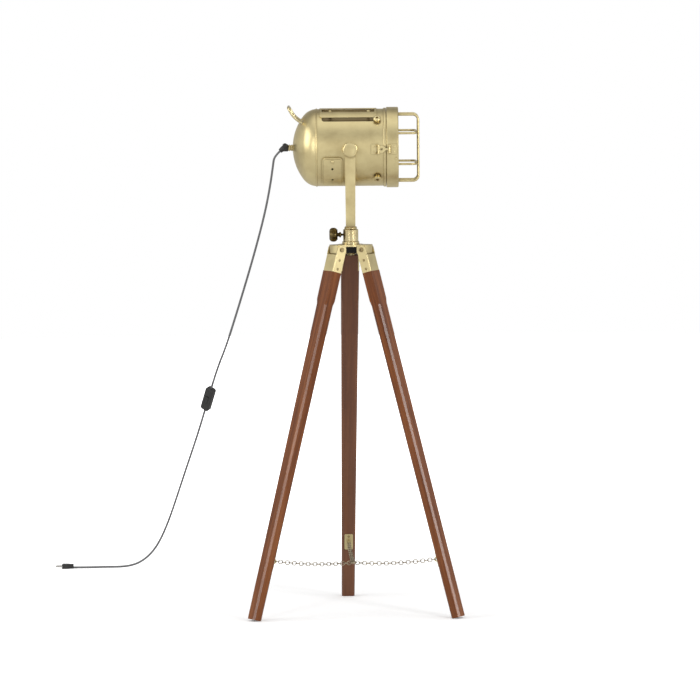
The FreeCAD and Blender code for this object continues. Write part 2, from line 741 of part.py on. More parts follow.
def yoke():
    """Flat bar bent to a U: a narrow base, two bends and arms that widen to round ends."""
    half_base = YOKE_BASE_WIDTH / 2
    half_top = YOKE_TOP_WIDTH / 2
    outer_r = YOKE_BEND_R + YOKE_THICK
    bend_top = outer_r
    base = block(-half_base, half_base, -(ARM_OUT - outer_r), ARM_OUT - outer_r, 0, YOKE_THICK)
    parts = [base]
    for side in (-1, 1):
        centre = V(0, side * (ARM_OUT - outer_r), outer_r)
        section = Part.makePolygon([V(-half_base, centre.y, 0), V(half_base, centre.y, 0),
                                    V(half_base, centre.y, YOKE_THICK),
                                    V(-half_base, centre.y, YOKE_THICK), V(-half_base, centre.y, 0)])
        parts.append(Part.Face(section).revolve(centre, V(side, 0, 0), 90))
        arm = Part.Face(closed_wire([(-half_base, bend_top), (half_base, bend_top), (half_top, YOKE_RISE),
                                     ((0, YOKE_RISE + half_top), (-half_top, YOKE_RISE))],
                                    lambda x, z: V(x, 0, z)))
        y_in = side * ARM_IN
        arm = arm.extrude(V(0, side * YOKE_THICK, 0))
        arm.translate(V(0, y_in, 0))
        hole = Part.makeCylinder(PIVOT_STUD_R + FIT, 3 * YOKE_THICK,
                                 V(0, y_in - side * YOKE_THICK, YOKE_RISE), V(0, side, 0))
        parts.append(arm.cut(hole))
    body = fused(*parts)
    body = body.cut(Part.makeCylinder(STEM_NECK_R + SNUG, YOKE_THICK + 2, V(0, 0, -1)))
    body.translate(V(0, 0, YOKE_BASE_Z))
    return body.Solids[0]


def stem():
    """Turned stem that stands on the collar and turns in it, its neck through the yoke's base."""
    bottom = HUB_BOTTOM_Z - STEM_BELOW_HUB
    shoulder = YOKE_BASE_Z - STEM_SHOULDER_H - bottom
    seat = YOKE_BASE_Z - bottom
    groove = STEM_BELOW_HUB - GAP - STEM_CLIP_H
    return turned([(0, 0), (STEM_R, 0), (STEM_R, groove), (STEM_R - 2, groove),
                   (STEM_R - 2, groove + STEM_CLIP_H), (STEM_R, groove + STEM_CLIP_H),
                   (STEM_R, shoulder), (STEM_SHOULDER_R, shoulder), (STEM_SHOULDER_R, seat),
                   (STEM_NECK_R, seat), (STEM_NECK_R, seat + YOKE_THICK + STEM_NUT_H - 2),
                   (0, seat + YOKE_THICK + STEM_NUT_H - 2)], V(0, 0, bottom))


def stem_fasteners():
    """Cap nut over the yoke's base, and the ring that keeps the stem in the hub."""
    nut = hexagon(2 * STEM_NUT_R * 0.9, STEM_NUT_H - 3, V(0, 0, YOKE_BASE_Z + YOKE_THICK), Z_AXIS)
    dome = turned([(0, STEM_NUT_H - 3), (STEM_NUT_R * 0.8, STEM_NUT_H - 3), (STEM_NUT_R * 0.5, STEM_NUT_H + 1),
                   (0, STEM_NUT_H + 1)], V(0, 0, YOKE_BASE_Z + YOKE_THICK))
    nut = fused(nut, dome)
    nut = nut.cut(Part.makeCylinder(STEM_NECK_R + SNUG, STEM_NUT_H - 1, V(0, 0, YOKE_BASE_Z + YOKE_THICK - 1)))
    clip_z = HUB_BOTTOM_Z - GAP - STEM_CLIP_H
    clip = turned([(STEM_R - 2 + SNUG, 0), (STEM_CLIP_R, 0), (STEM_CLIP_R, STEM_CLIP_H - SNUG),
                   (STEM_R - 2 + SNUG, STEM_CLIP_H - SNUG)], V(0, 0, clip_z))
    return nut.Solids[0], clip


def make_mast():
    add("collar", collar())
    add("thumb_screw", thumb_screw())
    add("yoke", yoke())
    add("yoke_stem", stem())
    add("stem_fasteners", *stem_fasteners())


# Head --------------------------------------------------------------------------------------------


def in_head(shape):
    """Move a piece built about the tilt axis to its height."""
    moved = shape.copy()
    moved.translate(V(0, 0, HEAD_Z))
    return moved


def barrel():
    """Housing drum with its rolled front rim, vent opening and fixing holes."""
    inner = HOUSING_R - SHEET
    rim = HOUSING_R + RIM_HEIGHT
    drum = turned([(inner, SEAM_X), (HOUSING_R, SEAM_X), (HOUSING_R, RIM_X0), (rim - 0.6, RIM_X0),
                   (rim, RIM_X0 + 1), (rim, RIM_X1 - 1), (rim - 0.6, RIM_X1), (inner, RIM_X1)],
                  V(), X_AXIS)
    drum = drum.cut(round_sector(inner - 5, HOUSING_R + 5, 90 - VENT_HALF_ARC, 90 + VENT_HALF_ARC,
                                 VENT_X0, VENT_X1, VENT_CORNER))
    for arc in SIDE_HOLE_ARCS:
        drum = drum.cut(rod_between(SIDE_HOLE_R, V(SIDE_X, 0, 0) + around(arc) * (inner - 5),
                                    V(SIDE_X, 0, 0) + around(arc) * (HOUSING_R + 5)))
    return drum.Solids[0]


def dome_profile(offset):
    """Radii and centres of the dome's two arcs, moved in by an offset."""
    shoulder = DOME_SHOULDER_R
    rise = HOUSING_R - shoulder
    crown = (DOME_DEPTH ** 2 + rise ** 2 - shoulder ** 2) / (2 * (DOME_DEPTH - shoulder))
    to_rise = V(crown - DOME_DEPTH, rise, 0).normalize()
    meet = V(to_rise.x * (shoulder - offset), rise + to_rise.y * (shoulder - offset), 0)
    half = math.radians(22)
    shoulder_mid = V(math.sin(half) * (shoulder - offset), rise + math.cos(half) * (shoulder - offset), 0)
    crown_end = DOME_DEPTH - offset
    lean = math.asin(meet.y / (crown - offset)) / 2
    centre = DOME_DEPTH - crown
    crown_mid = V(centre + (crown - offset) * math.cos(lean), (crown - offset) * math.sin(lean), 0)
    return (HOUSING_R - offset, shoulder_mid, meet, crown_mid, crown_end)


def dome():
    """Pressed rear dome with a beaded edge and a skirt that slides into the drum."""
    top, mid, meet, crown_mid, crown_end = dome_profile(0)
    in_top, in_mid, in_meet, in_crown_mid, in_crown_end = dome_profile(SHEET)
    skirt_out = HOUSING_R - SHEET - SNUG
    skirt_in = skirt_out - SHEET
    bead = BEAD_R
    steps = [(skirt_in, -SKIRT_LENGTH), (skirt_out, -SKIRT_LENGTH), (skirt_out, SNUG), (top, SNUG),
             ((top + bead, SNUG + bead), (top, SNUG + 2 * bead)),
             ((mid.y, mid.x), (meet.y, meet.x)), ((crown_mid.y, crown_mid.x), (0, crown_end)),
             (0, in_crown_end), ((in_crown_mid.y, in_crown_mid.x), (in_meet.y, in_meet.x)),
             ((in_mid.y, in_mid.x), (skirt_in, 0))]
    shell = turned(steps, V(SEAM_X, 0, 0), V(-1, 0, 0))
    shell = shell.cut(rod_between(NIPPLE_THREAD_R + SNUG, V(NIPPLE_X0 - 5, 0, 0), V(NIPPLE_X0 + 20, 0, 0)))
    for side in (-1, 1):
        foot, _ = handle_foot(side)
        out = handle_direction(HANDLE_RISE_DEG)
        shell = shell.cut(rod_between(HANDLE_ROD_R + SNUG, foot - out * 12, foot + out * 8))
    return shell.Solids[0]


def vent_cover():
    """Curved cover over the vent, with two long slots and four ears for its posts."""
    r0 = HOUSING_R + SNUG
    r1 = r0 + COVER_THICK
    x0 = VENT_X0 - COVER_END
    x1 = VENT_X1 + COVER_END
    cover = round_sector(r0, r1, 90 - COVER_HALF_ARC, 90 + COVER_HALF_ARC, x0, x1, VENT_CORNER)
    near, far = SLOT_ARC
    for arc0, arc1 in ((90 - far, 90 - near), (90 + near, 90 + far)):
        cover = cover.cut(round_sector(r0 - 3, r1 + 3, arc0, arc1, VENT_X0, VENT_X1, SLOT_CORNER))
    for side in (-1, 1):
        for x in POST_X:
            arc0, arc1 = sorted((90 + side * (POST_ARC - 2.5), 90 + side * (far + 2)))
            cover = cover.fuse(sector(r0, r1, arc0, arc1, x - POST_R - 1, x + POST_R + 1))
    return cover.removeSplitter().Solids[0]


def vent_baffle():
    """Light baffle under the vent, hung from the cover by four posts."""
    r1 = HOUSING_R - BAFFLE_DEPTH
    baffle = sector(r1 - SHEET, r1, 90 - BAFFLE_HALF_ARC, 90 + BAFFLE_HALF_ARC, VENT_X0 - 3, VENT_X1 + 3)
    cover_in = HOUSING_R + SNUG
    posts = []
    for side in (-1, 1):
        for x in POST_X:
            out = around(90 + side * POST_ARC)
            foot = V(x, 0, 0) + out * (r1 - SHEET / 2)
            posts.append(rod_between(POST_R, foot, V(x, 0, 0) + out * (cover_in - SNUG)))
    return fused(baffle, *posts)


def side_cover():
    """Pressed cover with drafted sides on the drum, open inside, with two holes and a screw."""
    half = SIDE_WIDTH / 2
    arc0, arc1 = SIDE_ARC
    r0 = HOUSING_R + SNUG
    r1 = HOUSING_R + SIDE_HEIGHT
    ease = math.degrees(SIDE_DRAFT / HOUSING_R)
    lid = round_sector(r1 - SHEET, r1, arc0 + ease, arc1 - ease, SIDE_X - half + SIDE_DRAFT,
                       SIDE_X + half - SIDE_DRAFT, 7.0)
    wall = round_sector(r0, r1 - SHEET, arc0, arc1, SIDE_X - half, SIDE_X + half, 9.0)
    wall = wall.cut(round_sector(r0 - 3, r1 + 3, arc0 + ease, arc1 - ease, SIDE_X - half + SIDE_DRAFT,
                                 SIDE_X + half - SIDE_DRAFT, 7.0))
    lip = round_sector(r1 - SHEET - 0.8, r1 - SHEET, arc0 + ease / 2, arc1 - ease / 2,
                       SIDE_X - half + SIDE_DRAFT / 2, SIDE_X + half - SIDE_DRAFT / 2, 8.0)
    body = fused(wall, lip, lid)
    for arc in SIDE_HOLE_ARCS:
        body = body.cut(rod_between(SIDE_HOLE_R, V(SIDE_X, 0, 0) + around(arc) * (r0 - 1),
                                    V(SIDE_X, 0, 0) + around(arc) * (r1 + 5)))
    return body.Solids[0]


def side_screw():
    out = around(SIDE_SCREW_ARC)
    head = turned([(0, 0), (SIDE_SCREW_R, 0), (SIDE_SCREW_R, 1.4), (SIDE_SCREW_R * 0.7, 2.4), (0, 2.4)],
                  V(SIDE_X, 0, 0) + out * (HOUSING_R + SIDE_HEIGHT + SNUG), out)
    return head


def vent_screws():
    """Heads of the screws that hold the vent's cover to its posts."""
    for side in (-1, 1):
        for x in POST_X:
            out = around(90 + side * POST_ARC)
            base = V(x, 0, 0) + out * (HOUSING_R + 2 * SNUG + COVER_THICK)
            yield turned([(0, 0), (POST_R, 0), (POST_R * 0.7, POST_HEAD_H), (0, POST_HEAD_H)], base, out)


def socket_bolts():
    """Radial bolts with a round head and a key hole, standing on a turned foot."""
    for arc in SOCKET_ARCS:
        out = around(arc)
        stem_top = SOCKET_STEM_H + 1.0
        bolt = turned([(0, -1), (SOCKET_STEM_R, -1), (SOCKET_STEM_R, stem_top),
                       (SOCKET_HEAD_R, stem_top), (SOCKET_HEAD_R, stem_top + SOCKET_HEAD_H - 2),
                       (SOCKET_HEAD_R - 3, stem_top + SOCKET_HEAD_H), (0, stem_top + SOCKET_HEAD_H)],
                      V(SOCKET_X, 0, 0) + out * (HOUSING_R - 1), out)
        key_base = V(SOCKET_X, 0, 0) + out * (HOUSING_R - 1 + stem_top + SOCKET_HEAD_H - 4)
        bolt = bolt.cut(hexagon(SOCKET_HEX, 10, key_base, out))
        drum = Part.makeCylinder(HOUSING_R + SNUG, 60, V(SOCKET_X - 30, 0, 0), X_AXIS)
        yield bolt.cut(drum).Solids[0]


def pivot_studs():
    """Stud, with its shoulder shaped to the drum, that each arm and knob fit over."""
    for side in (-1, 1):
        out = V(0, side, 0)
        shoulder = Part.makeCylinder(PIVOT_SPACER_R, ARM_IN - GAP - HOUSING_R + 4,
                                     out * (HOUSING_R - 4), out)
        stud = Part.makeCylinder(PIVOT_STUD_R, ARM_OUT + STUD_LENGTH - HOUSING_R, out * HOUSING_R, out)
        body = fused(shoulder, stud)
        yield body.cut(Part.makeCylinder(HOUSING_R + SNUG, 60, V(-30, 0, 0), X_AXIS)).Solids[0]


def pivot_knob(side):
    """Clamp knob on the stud, outside the arm."""
    knob = rosette(KNOB_R, KNOB_H, PIVOT_STUD_R + FIT, STUD_LENGTH)
    base = V(0, side * (ARM_OUT + GAP), 0)
    return placed(knob, FreeCAD.Placement(base, turn_to(V(0, side, 0))))


def lampholder():
    """Round holder on the strap, with the bore that the lamp's cap screws into."""
    front = HOLDER_BACK_X + HOLDER_LENGTH
    return turned([(0, HOLDER_BACK_X), (HOLDER_R - 4, HOLDER_BACK_X), (HOLDER_R - 4, HOLDER_BACK_X + 8),
                   (HOLDER_R, HOLDER_BACK_X + 10), (HOLDER_R, front - 10), (HOLDER_R - 2, front - 8),
                   (HOLDER_R - 2, front), (HOLDER_BORE_R, front),
                   (HOLDER_BORE_R, front - HOLDER_BORE_DEPTH), (0, front - HOLDER_BORE_DEPTH)],
                  V(), X_AXIS)


def holder_strap():
    """Flat strap across the drum, with turned ends riveted to its wall."""
    inner = HOUSING_R - SHEET - SNUG
    half = STRAP_WIDTH / 2
    x1 = HOLDER_BACK_X
    x0 = x1 - STRAP_THICK
    reach = math.sqrt(inner ** 2 - half ** 2) - 0.5
    bar = block(x0, x1, -reach, reach, -half, half)
    arc = math.degrees(half / inner)
    feet = [sector(inner - STRAP_THICK, inner, middle - arc, middle + arc, x0, x0 + 14)
            for middle in (0, 180)]
    return fused(bar, *feet)


def bulb_side(radius, neck_r, front_x):
    """Steps up one side of the bulb, from its neck to the flat at its nose."""
    cone_r = radius * 0.8
    cone_x = BULB_CENTRE_X - math.sqrt(radius ** 2 - cone_r ** 2)
    nose_x = BULB_CENTRE_X + math.sqrt(radius ** 2 - BULB_NOSE_R ** 2)
    return [(neck_r, front_x), (cone_r, cone_x), ((radius, BULB_CENTRE_X), (BULB_NOSE_R, nose_x)),
            (0, nose_x)]


def bulb_glass():
    """Thin glass, open at the neck where the cap holds it."""
    neck_x = HOLDER_BACK_X + HOLDER_LENGTH + CAP_STANDS_OUT
    outer = turned([(0, neck_x), (CAP_R, neck_x)] + bulb_side(BULB_R, BULB_NECK_R, neck_x + 8), V(), X_AXIS)
    inner = turned([(0, neck_x - 1), (CAP_R - BULB_WALL, neck_x - 1)]
                   + bulb_side(BULB_R - BULB_WALL, BULB_NECK_R - BULB_WALL, neck_x + 8), V(), X_AXIS)
    return outer.cut(inner).Solids[0]


def bulb_cap():
    end_x = HOLDER_BACK_X + HOLDER_LENGTH + CAP_STANDS_OUT
    foot_x = end_x - CAP_LENGTH
    return turned([(0, foot_x), (CAP_R * 0.4, foot_x), (CAP_R, foot_x + 4), (CAP_R, end_x), (0, end_x)],
                  V(), X_AXIS)


# Handle ------------------------------------------------------------------------------------------


def handle_direction(rise_deg):
    rise = math.radians(rise_deg)
    return V(-math.cos(rise), 0, math.sin(rise))


def handle_foot(side):
    """Where a handle leg goes through the dome's skin, and the dome's radius there."""
    shoulder = DOME_SHOULDER_R
    rise = HOUSING_R - shoulder
    crown = (DOME_DEPTH ** 2 + rise ** 2 - shoulder ** 2) / (2 * (DOME_DEPTH - shoulder))
    back = SEAM_X - HANDLE_FOOT_X
    radius = math.sqrt(crown ** 2 - (back + crown - DOME_DEPTH) ** 2)
    return V(HANDLE_FOOT_X, side * HANDLE_HALF, math.sqrt(radius ** 2 - HANDLE_HALF ** 2)), radius


def handle():
    """Bail bent from one rod: two legs that curve up from the dome, and a bar across."""
    side_points = []
    for side in (-1, 1):
        foot, _ = handle_foot(side)
        low = foot - handle_direction(HANDLE_RISE_DEG) * HANDLE_INSIDE
        knee = foot + handle_direction(HANDLE_RISE_DEG) * HANDLE_LOWER
        corner = knee + handle_direction(HANDLE_TIP_DEG) * HANDLE_UPPER
        side_points.append([low, knee, corner])
    points = side_points[0] + side_points[1][::-1]
    radii = [HANDLE_BEND_R, HANDLE_CORNER_R, HANDLE_CORNER_R, HANDLE_BEND_R]
    return bent_rod(points, radii, HANDLE_ROD_R)


def handle_nuts():
    for side in (-1, 1):
        foot, _ = handle_foot(side)
        inward = handle_direction(HANDLE_RISE_DEG) * -1
        base = foot + inward * 4.9
        nut = hexagon(2 * HANDLE_NUT_R * 0.9, HANDLE_NUT_H, base, inward)
        nut = nut.cut(rod_between(HANDLE_ROD_R + SNUG, base - inward * 5, base + inward * 9))
        yield nut.Solids[0]


# Door --------------------------------------------------------------------------------------------


def bezel():
    """Cap-shaped door ring: a wall, a front lip and holes for the guard and the lens screws."""
    wall_in = BEZEL_R - BEZEL_WALL
    ring = turned([(wall_in, BEZEL_X0), (BEZEL_R - 0.8, BEZEL_X0), (BEZEL_R, BEZEL_X0 + 0.8),
                   (BEZEL_R, BEZEL_X1 - 2.0), (BEZEL_R - 2.0, BEZEL_X1), (BEZEL_LIP_R, BEZEL_X1),
                   (BEZEL_LIP_R, LIP_X), (wall_in, LIP_X)], V(), X_AXIS)
    for points, _ in guard_lines():
        for end, ahead in ((points[0], points[1]), (points[-1], points[-2])):
            run = (ahead - end).normalize()
            ring = ring.cut(rod_between(GUARD_ROD_R + SNUG, end - run, end + run * 10))
    for arc in LENS_SCREW_ARCS:
        out = around(arc)
        centre = V(LENS_X0 - LENS_RING_THICK / 2 - GAP / 2, 0, 0)
        ring = ring.cut(rod_between(LENS_SCREW_R + SNUG, centre + out * (wall_in - 2),
                                    centre + out * (BEZEL_R + 2)))
    return ring.Solids[0]


def guard_lines():
    """Corner points and bend radii of the guard's four U-shaped rods."""
    foot = LIP_X + SNUG
    level_reach = GUARD_REACH - 2 * GUARD_ROD_R - SNUG
    radii = [GUARD_BEND_R, GUARD_BEND_R]
    for y in (-GUARD_UPRIGHT_Y, GUARD_UPRIGHT_Y):
        half = GUARD_UPRIGHT_HALF
        yield [V(foot, y, -half), V(GUARD_REACH, y, -half), V(GUARD_REACH, y, half), V(foot, y, half)], radii
    for z in (-GUARD_LEVEL_Z, GUARD_LEVEL_Z):
        half = GUARD_LEVEL_HALF
        yield [V(foot, -half, z), V(level_reach, -half, z), V(level_reach, half, z), V(foot, half, z)], radii


def lens_ring():
    """Ring behind the lens that the radial screws hold."""
    x1 = LENS_X0 - GAP / 2
    ring = turned([(LENS_R - 8, x1 - LENS_RING_THICK), (BEZEL_R - BEZEL_WALL - SNUG, x1 - LENS_RING_THICK),
                   (BEZEL_R - BEZEL_WALL - SNUG, x1), (LENS_R - 8, x1)], V(), X_AXIS)
    for arc in LENS_SCREW_ARCS:
        out = around(arc)
        centre = V(x1 - LENS_RING_THICK / 2, 0, 0)
        pocket = rod_between(LENS_SCREW_R + SNUG, centre + out * (BEZEL_R - 7), centre + out * BEZEL_R)
        ring = ring.cut(pocket)
    return ring.Solids[0]


def lens_screws():
    for arc in LENS_SCREW_ARCS:
        out = around(arc)
        centre = V(LENS_X0 - LENS_RING_THICK / 2 - GAP / 2, 0, 0)
        yield turned([(0, -6.5), (LENS_SCREW_R, -6.5), (LENS_SCREW_R, SNUG), (3.6, SNUG), (3.0, 1.3),
                      (0, 1.3)], centre + out * BEZEL_R, out)


# Hinge and latch ---------------------------------------------------------------------------------


def hinge_axis():
    """The hinge pin's place: at the seam, outside the bezel on the far side."""
    return V(RIM_X1 + DOOR_GAP / 2, BEZEL_R + HINGE_ABOVE_BEZEL, 0)


def rivets(r_surface, x, middle_arc):
    for side in (-1, 1):
        out = around(middle_arc + side * LEAF_HALF_ARC * 0.5)
        yield turned([(0, -0.5), (RIVET_R, -0.5), (RIVET_R, RIVET_H * 0.4), (RIVET_R * 0.6, RIVET_H),
                      (0, RIVET_H)], V(x, 0, 0) + out * r_surface, out)


def leaf(r_seat, x0, x1, middle_arc, rivet_x):
    """Riveted plate that follows the skin it sits on."""
    r0 = r_seat + SNUG
    r1 = r0 + LEAF_THICK
    sheet = sector(r0, r1, middle_arc - LEAF_HALF_ARC, middle_arc + LEAF_HALF_ARC, x0, x1)
    return [sheet] + list(rivets(r1, rivet_x, middle_arc))


def knuckle(z0, z1, tab):
    """One hinge knuckle with the tab that joins it to its leaf."""
    axis = hinge_axis()
    barrel_part = Part.makeCylinder(HINGE_R, z1 - z0, V(axis.x, axis.y, z0))
    web = plate(tab, z1 - z0)
    web.translate(V(0, 0, z0))
    return [barrel_part, web]


def hinge_leaf_body():
    axis = hinge_axis()
    skin = HOUSING_R + SNUG
    tab = [(84.0, skin + 0.6), (91.6, HOUSING_R + RIM_HEIGHT + 0.4), (axis.x - 1.5, axis.y - HINGE_R + 0.4),
           (axis.x, axis.y), (axis.x - 3.0, axis.y + 2.6), (88.5, HOUSING_R + 5.0), (84.0, skin + 2.2)]
    parts = leaf(HOUSING_R, LEAF_BODY_X[0], LEAF_BODY_X[1], 180, 67.5)
    parts += knuckle(-HINGE_HALF, -HINGE_MIDDLE, tab) + knuckle(HINGE_MIDDLE, HINGE_HALF, tab)
    body = fused(*parts)
    keep_off = Part.makeCylinder(HOUSING_R + SNUG, LEAF_BODY_X[1] - 50, V(50, 0, 0), X_AXIS)
    body = body.cut(keep_off)
    bore = Part.makeCylinder(HINGE_PIN_R + SNUG, 2 * HINGE_HALF + 2, V(axis.x, axis.y, -HINGE_HALF - 1))
    return body.cut(bore).Solids[0]


def hinge_leaf_door():
    axis = hinge_axis()
    skin = BEZEL_R + SNUG
    tab = [(LEAF_DOOR_X[0] + 3, skin + 0.6), (LEAF_DOOR_X[0] + 3, skin + 2.0), (axis.x + 3.0, axis.y + 2.6),
           (axis.x, axis.y), (axis.x + 1.0, axis.y - HINGE_R + 0.2), (axis.x + 3.4, skin + 0.5)]
    half = HINGE_MIDDLE - GAP
    parts = leaf(BEZEL_R, LEAF_DOOR_X[0], LEAF_DOOR_X[1], 180, 121.0) + knuckle(-half, half, tab)
    body = fused(*parts)
    body = body.cut(Part.makeCylinder(skin, 60, V(BEZEL_X0 - 10, 0, 0), X_AXIS))
    bore = Part.makeCylinder(HINGE_PIN_R + FIT, 2 * HINGE_HALF, V(axis.x, axis.y, -HINGE_HALF))
    return body.cut(bore).Solids[0]


def hinge_pin():
    axis = hinge_axis()
    length = 2 * HINGE_HALF
    return turned([(0, -1.2), (HINGE_PIN_R * 0.7, -1.2), (HINGE_PIN_R, -0.4), (HINGE_PIN_R, length + 0.4),
                   (HINGE_PIN_R * 0.7, length + 1.2), (0, length + 1.2)], V(axis.x, axis.y, -HINGE_HALF))


def latch_axis_y():
    return -(BEZEL_R + LATCH_ABOVE_BEZEL)


def latch_base():
    """Riveted base with two ears and the pin that the lever turns on."""
    y = latch_axis_y()
    parts = leaf(HOUSING_R, 58.2, LATCH_PIN_X - LATCH_KNUCKLE_R, 0, 65.7)
    ear = [(70.0, -HOUSING_R - 0.6), (70.0, -HOUSING_R - 2.0), (LATCH_PIN_X - 3.0, y - 1.2),
           ((LATCH_PIN_X, y - LATCH_KNUCKLE_R), (LATCH_PIN_X + LATCH_KNUCKLE_R, y)),
           (LATCH_PIN_X + 2.0, -HOUSING_R - 0.6)]
    for z0 in (-HINGE_HALF + 0.6, HINGE_HALF - 2.6):
        web = plate(ear, 2.0)
        web.translate(V(0, 0, z0))
        parts.append(web)
    pin_half = HINGE_HALF - 0.4
    parts.append(Part.makeCylinder(LATCH_PIN_R, 2 * pin_half, V(LATCH_PIN_X, y, -pin_half)))
    body = fused(*parts)
    return body.cut(Part.makeCylinder(HOUSING_R + SNUG, 60, V(40, 0, 0), X_AXIS)).Solids[0]


def latch_bar_y():
    """Height of the lever's cross bar: just clear of the catch's sheet."""
    return -(BEZEL_R + SNUG + CATCH_SHEET + GAP + LATCH_BAR_R)


def latch_lever():
    """Lever with a finger eye, a neck that lies between the catch's lugs, and a round cross bar."""
    y = latch_axis_y()
    knuckle_half = HINGE_HALF - 2.6 - GAP
    neck = LATCH_NECK_HALF
    eye = LATCH_EYE_R
    shape = [(LATCH_PIN_X, -knuckle_half), (LATCH_EYE_X - 2.0, -knuckle_half),
             ((LATCH_EYE_X + eye * 0.7, -eye * 0.72), (LATCH_EYE_X + eye, -neck)),
             (LATCH_BAR_X, -neck), (LATCH_BAR_X, neck), (LATCH_EYE_X + eye, neck),
             ((LATCH_EYE_X + eye * 0.7, eye * 0.72), (LATCH_EYE_X - 2.0, knuckle_half)),
             (LATCH_PIN_X, knuckle_half)]
    strap = Part.Face(closed_wire(shape, lambda x, z: V(x, y + LATCH_THICK / 2, z)))
    strap = strap.extrude(V(0, -LATCH_THICK, 0))
    strap = strap.cut(Part.makeCylinder(LATCH_HOLE_R, 20, V(LATCH_EYE_X, y + 10, 0), V(0, -1, 0)))
    roll = Part.makeCylinder(LATCH_KNUCKLE_R - 0.2, 2 * knuckle_half, V(LATCH_PIN_X, y, -knuckle_half))
    bar = turned([(0, 0), (LATCH_BAR_R - 1, 0), (LATCH_BAR_R, 1), (LATCH_BAR_R, 2 * LATCH_BAR_HALF - 1),
                  (LATCH_BAR_R - 1, 2 * LATCH_BAR_HALF), (0, 2 * LATCH_BAR_HALF)],
                 V(LATCH_BAR_X, latch_bar_y(), -LATCH_BAR_HALF))
    body = fused(strap, roll, bar)
    bore = Part.makeCylinder(LATCH_PIN_R + FIT, 2 * HINGE_HALF, V(LATCH_PIN_X, y, -HINGE_HALF))
    return body.cut(bore).Solids[0]


def latch_catch():
    """Riveted catch: a thin sheet under the lever's bar, and two lugs that the bar drops behind."""
    r0 = BEZEL_R + SNUG
    parts = leaf(BEZEL_R, LATCH_BAR_X + LATCH_BAR_R + 1.4, 129.0, 0, 120.8)
    underside = -latch_bar_y() - LATCH_BAR_R
    drop = LATCH_BAR_R - CATCH_BITE
    lug1 = LATCH_BAR_X - math.sqrt((LATCH_BAR_R + GAP) ** 2 - drop ** 2)
    lug0 = lug1 - CATCH_LUG_LENGTH
    parts.append(sector(r0, r0 + CATCH_SHEET, -LEAF_HALF_ARC, LEAF_HALF_ARC, lug0, 116.0))
    top = underside + CATCH_BITE
    for side in (-1, 1):
        z0, z1 = sorted((side * (LATCH_NECK_HALF + 0.9), side * (LATCH_BAR_HALF - 0.5)))
        parts.append(block(lug0, lug1, -top, -BEZEL_R + 2.0, z0, z1))
    body = fused(*parts)
    return body.cut(Part.makeCylinder(r0, 60, V(BEZEL_X0 - 10, 0, 0), X_AXIS)).Solids[0]


def make_head():
    pieces = {
        "housing_barrel": [barrel()], "rear_dome": [dome()], "vent_cover": [vent_cover()],
        "vent_baffle": [vent_baffle()], "side_cover": [side_cover()],
        "housing_screws": [side_screw()] + list(vent_screws()), "socket_bolts": list(socket_bolts()),
        "pivot_studs": list(pivot_studs()), "pivot_knob_near": [pivot_knob(-1)],
        "pivot_knob_far": [pivot_knob(1)], "lampholder": [lampholder()], "holder_strap": [holder_strap()],
        "bulb_glass": [bulb_glass()], "bulb_cap": [bulb_cap()], "handle": [handle()],
        "handle_nuts": list(handle_nuts()), "bezel": [bezel()], "lens_ring": [lens_ring()],
        "lens_glass": [Part.makeCylinder(LENS_R, LENS_THICK, V(LENS_X0, 0, 0), X_AXIS)],
        "lens_screws": list(lens_screws()),
        "guard_bars": [bent_rod(points, radii, GUARD_ROD_R) for points, radii in guard_lines()],
        "hinge_leaf_body": [hinge_leaf_body()], "hinge_leaf_door": [hinge_leaf_door()],
        "hinge_pin": [hinge_pin()], "latch_base": [latch_base()], "latch_lever": [latch_lever()],
        "latch_catch": [latch_catch()], "cord_nipple": [cord_nipple()], "cord_grip": [cord_grip()],
        "grip_screw": [grip_screw()],
    }
    for node, solids in pieces.items():
        add(node, *[in_head(solid) for solid in solids])


# Cord, switch and plug ---------------------------------------------------------------------------


def cord_nipple():
    """Threaded brass nipple with two rings, through the dome's crown."""
    length = NIPPLE_LENGTH
    bore = CORD_D / 2 + FIT
    return turned([(bore, -12.0), (NIPPLE_THREAD_R, -12.0), (NIPPLE_THREAD_R, SNUG), (NIPPLE_R, SNUG),
                   (NIPPLE_R, 4.0), (NIPPLE_R - 1.8, 5.0), (NIPPLE_R - 1.8, 6.5), (NIPPLE_R, 7.5),
                   (NIPPLE_R, length - 3), (NIPPLE_R - 1.5, length), (bore, length)],
                  V(NIPPLE_X0, 0, 0), V(-1, 0, 0))


def grip_tail():
    """Where the grip's drooping tail starts, and the way it points."""
    droop = math.radians(GRIP_TAIL_DEG)
    return V(GRIP_X1 + 2.0, 0, -1.0), V(-math.cos(droop), 0, -math.sin(droop))


def cord_grip():
    """Moulded cord grip: a round body with a tapered tail that droops."""
    body = turned([(0, 0), (GRIP_R - 1, 0), (GRIP_R, 1.0), (GRIP_R, GRIP_LENGTH - 3),
                   (GRIP_R - 3, GRIP_LENGTH), (0, GRIP_LENGTH)], V(GRIP_X0, 0, 0), V(-1, 0, 0))
    start, way = grip_tail()
    tail = turned([(0, -5), (GRIP_R - 2.5, -5), (GRIP_R - 2.5, 2), (GRIP_TAIL_R, GRIP_TAIL_LENGTH),
                   (0, GRIP_TAIL_LENGTH)], start, way)
    seat = block(GRIP_X1, GRIP_X1 + 2 * GRIP_SCREW_R, -GRIP_R, 0, GRIP_SCREW_RISE - 5, GRIP_SCREW_RISE + 3.5)
    grip = fused(body, tail, seat)
    return grip.cut(rod_between(CORD_D / 2 + SNUG, start + way * 5, start + way * 20)).Solids[0]


